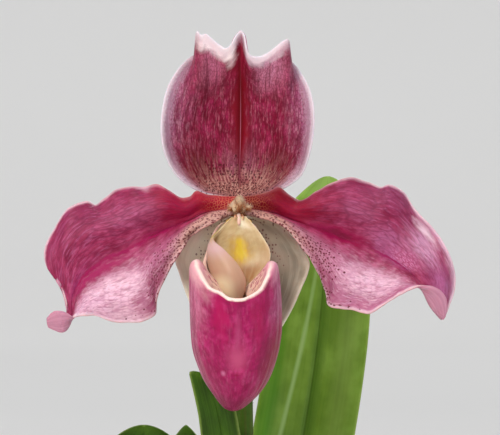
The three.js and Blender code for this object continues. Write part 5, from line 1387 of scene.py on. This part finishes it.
def studio():
    floorSkin, tree = emptyMaterial("matte pale paper, smooth and without gloss")
    where = add(tree, "TexCoord", take="Object")
    cloud = add(tree, "TexNoise", {"Scale": 0.6, "Detail": 1.0}, {"Vector": where})
    tone = add(tree, "ValToRGB", {"stops": [(0.3, "#efeeec"), (0.7, "#f2f1ef")]}, {0: cloud})
    finish(tree, {"Roughness": 0.9, "Specular IOR Level": 0.2}, {"Base Color": tone})
    # a broad shallow bowl: flat floor, curving up far away on every side
    flat = 6000.0
    bend = 5000.0
    radii = [0.0, 150.0, 1500.0, flat]
    heights = [0.0, 0.0, 0.0, 0.0]
    for k in range(1, 19):
        angle = math.radians(5 * k)
        radii.append(flat + bend * math.sin(angle))
        heights.append(bend * (1 - math.cos(angle)))
    sides = 96
    points = [[0, 0, 0]]
    for radius, height in zip(radii[1:], heights[1:]):
        for k in range(sides):
            angle = 2 * math.pi * k / sides
            points.append([radius * math.cos(angle), radius * math.sin(angle), height])
    faces = [[0, 1 + k, 1 + (k + 1) % sides] for k in range(sides)]
    for ring in range(len(radii) - 2):
        start = 1 + ring * sides
        for k in range(sides):
            after = (k + 1) % sides
            faces.append([start + k, start + sides + k, start + sides + after, start + after])
    bowl = makeObject("studioFloor", points, faces, None, [floorSkin])

    world = bpy.data.worlds.new("soft daylight")
    bpy.context.scene.world = world
    world.use_nodes = True
    sky = world.node_tree.nodes["Background"]
    sky.inputs[0].default_value = linear("#f4f6fa")
    sky.inputs[1].default_value = light["sky"]
    for lamp in light["lamps"]:
        data = bpy.data.lights.new(lamp["name"], lamp.get("kind", "AREA"))
        if data.type == "AREA":
            data.shape = "DISK"
            data.size = lamp["size"]
        else:
            data.angle = math.radians(lamp["spread"])
        data.energy = lamp["energy"]
        data.color = linear(lamp["tint"])[:3]
        body = bpy.data.objects.new(lamp["name"], data)
        bpy.context.scene.collection.objects.link(body)
        body.location = lamp["from"]
        aim = Vector(lamp["to"]) - Vector(lamp["from"])
        body.rotation_euler = aim.to_track_quat("-Z", "Y").to_euler()
        body.visible_camera = False
    bpy.context.scene.view_settings.view_transform = "Standard"


light = {
    "sky": 0.5,
    "lamps": [
        {"name": "keySoftbox", "from": (-0.45, -0.9, 1.0), "to": (0, -0.02, 0.2), "size": 0.35, "energy": 9.5,
         "tint": "#fff8f0"},
        {"name": "fillSoftbox", "from": (1.2, -1.1, 0.5), "to": (0, 0, 0.2), "size": 0.8, "energy": 2.5,
         "tint": "#eef3ff"},
        {"name": "backSoftbox", "from": (0.5, 1.1, 0.9), "to": (0, 0, 0.22), "size": 0.5, "energy": 5.0,
         "tint": "#ffffff"},
        {"name": "skylight", "kind": "SUN", "from": (-0.4, -0.5, 3.0), "to": (0, 0, 0), "spread": 50, "energy": 0.86,
         "tint": "#ffffff"},
    ],
}

camera = {"lens": 288.0, "at": (eye["x"] * mm, (flowerAt[1] - eye["away"]) * mm, eye["z"] * mm)}


def photographer():
    data = bpy.data.cameras.new("camera")
    data.lens = camera["lens"]
    data.sensor_width = 36
    data.sensor_fit = "HORIZONTAL"
    data.clip_start = 0.05
    data.clip_end = 60
    body = bpy.data.objects.new("camera", data)
    body.location = camera["at"]
    body.rotation_euler = (math.radians(90), 0, 0)
    bpy.context.scene.collection.objects.link(body)
    bpy.context.scene.camera = body


photographer()
studio()
print("studio ready")

dorsal["skin"] = livingSkin("dorsal sepal, waxy skin", dorsal)
synsepal["skin"] = livingSkin("synsepal, waxy skin", synsepal)
petalLeft["skin"] = livingSkin("left petal, satin skin", petalLeft)
petalRight["skin"] = livingSkin("right petal, satin skin", petalRight)
pouch["skin"] = livingSkin("pouch, glossy waxy skin", pouch)
staminode["skin"] = livingSkin("staminode, smooth fleshy skin", staminode)
dorsalSepal()
synsepalPiece()
petalPiece("petalLeft", "petal_left", petalLeft)
petalPiece("petalRight", "petal_right", petalRight)
pouchPiece()
staminodePiece()
column["skin"] = livingSkin("column, downy", column)
tooth["skin"] = livingSkin("staminode hinge, waxy", tooth)
pollen["skin"] = livingSkin("pollen mass, waxy", pollen)
columnPiece()
polliniumPiece("polliniumLeft", "pollinium_left", -1)
polliniumPiece("polliniumRight", "pollinium_right", 1)
print("flower ready")

stem["skin"] = livingSkin("scape, downy", stem)
ovary["skin"] = livingSkin("ovary, ribbed and downy", ovary)
bract["skin"] = livingSkin("bract, leafy", bract)
stalkPiece("scape", "scape", stem["scape"], stem["scapeSize"], stem, 0, 0.0, 2600)
stalkPiece("ovary", "ovary", stem["ovary"], stem["ovarySize"], ovary, 6, 0.07, 1400)
bractPiece()
crownPiece()
leafLitAndShadedSkins = {tone: livingSkin("leaf, waxy cuticle, painted lighting " + tone, {**leafShared, **leafLitAndShadedTones[tone]}) for tone in leafLitAndShadedTones}
for node, spec in leaves.items():
    leafPiece(node, spec)
print("leaves ready")

pottingMix()
potPiece()
print("pot ready")
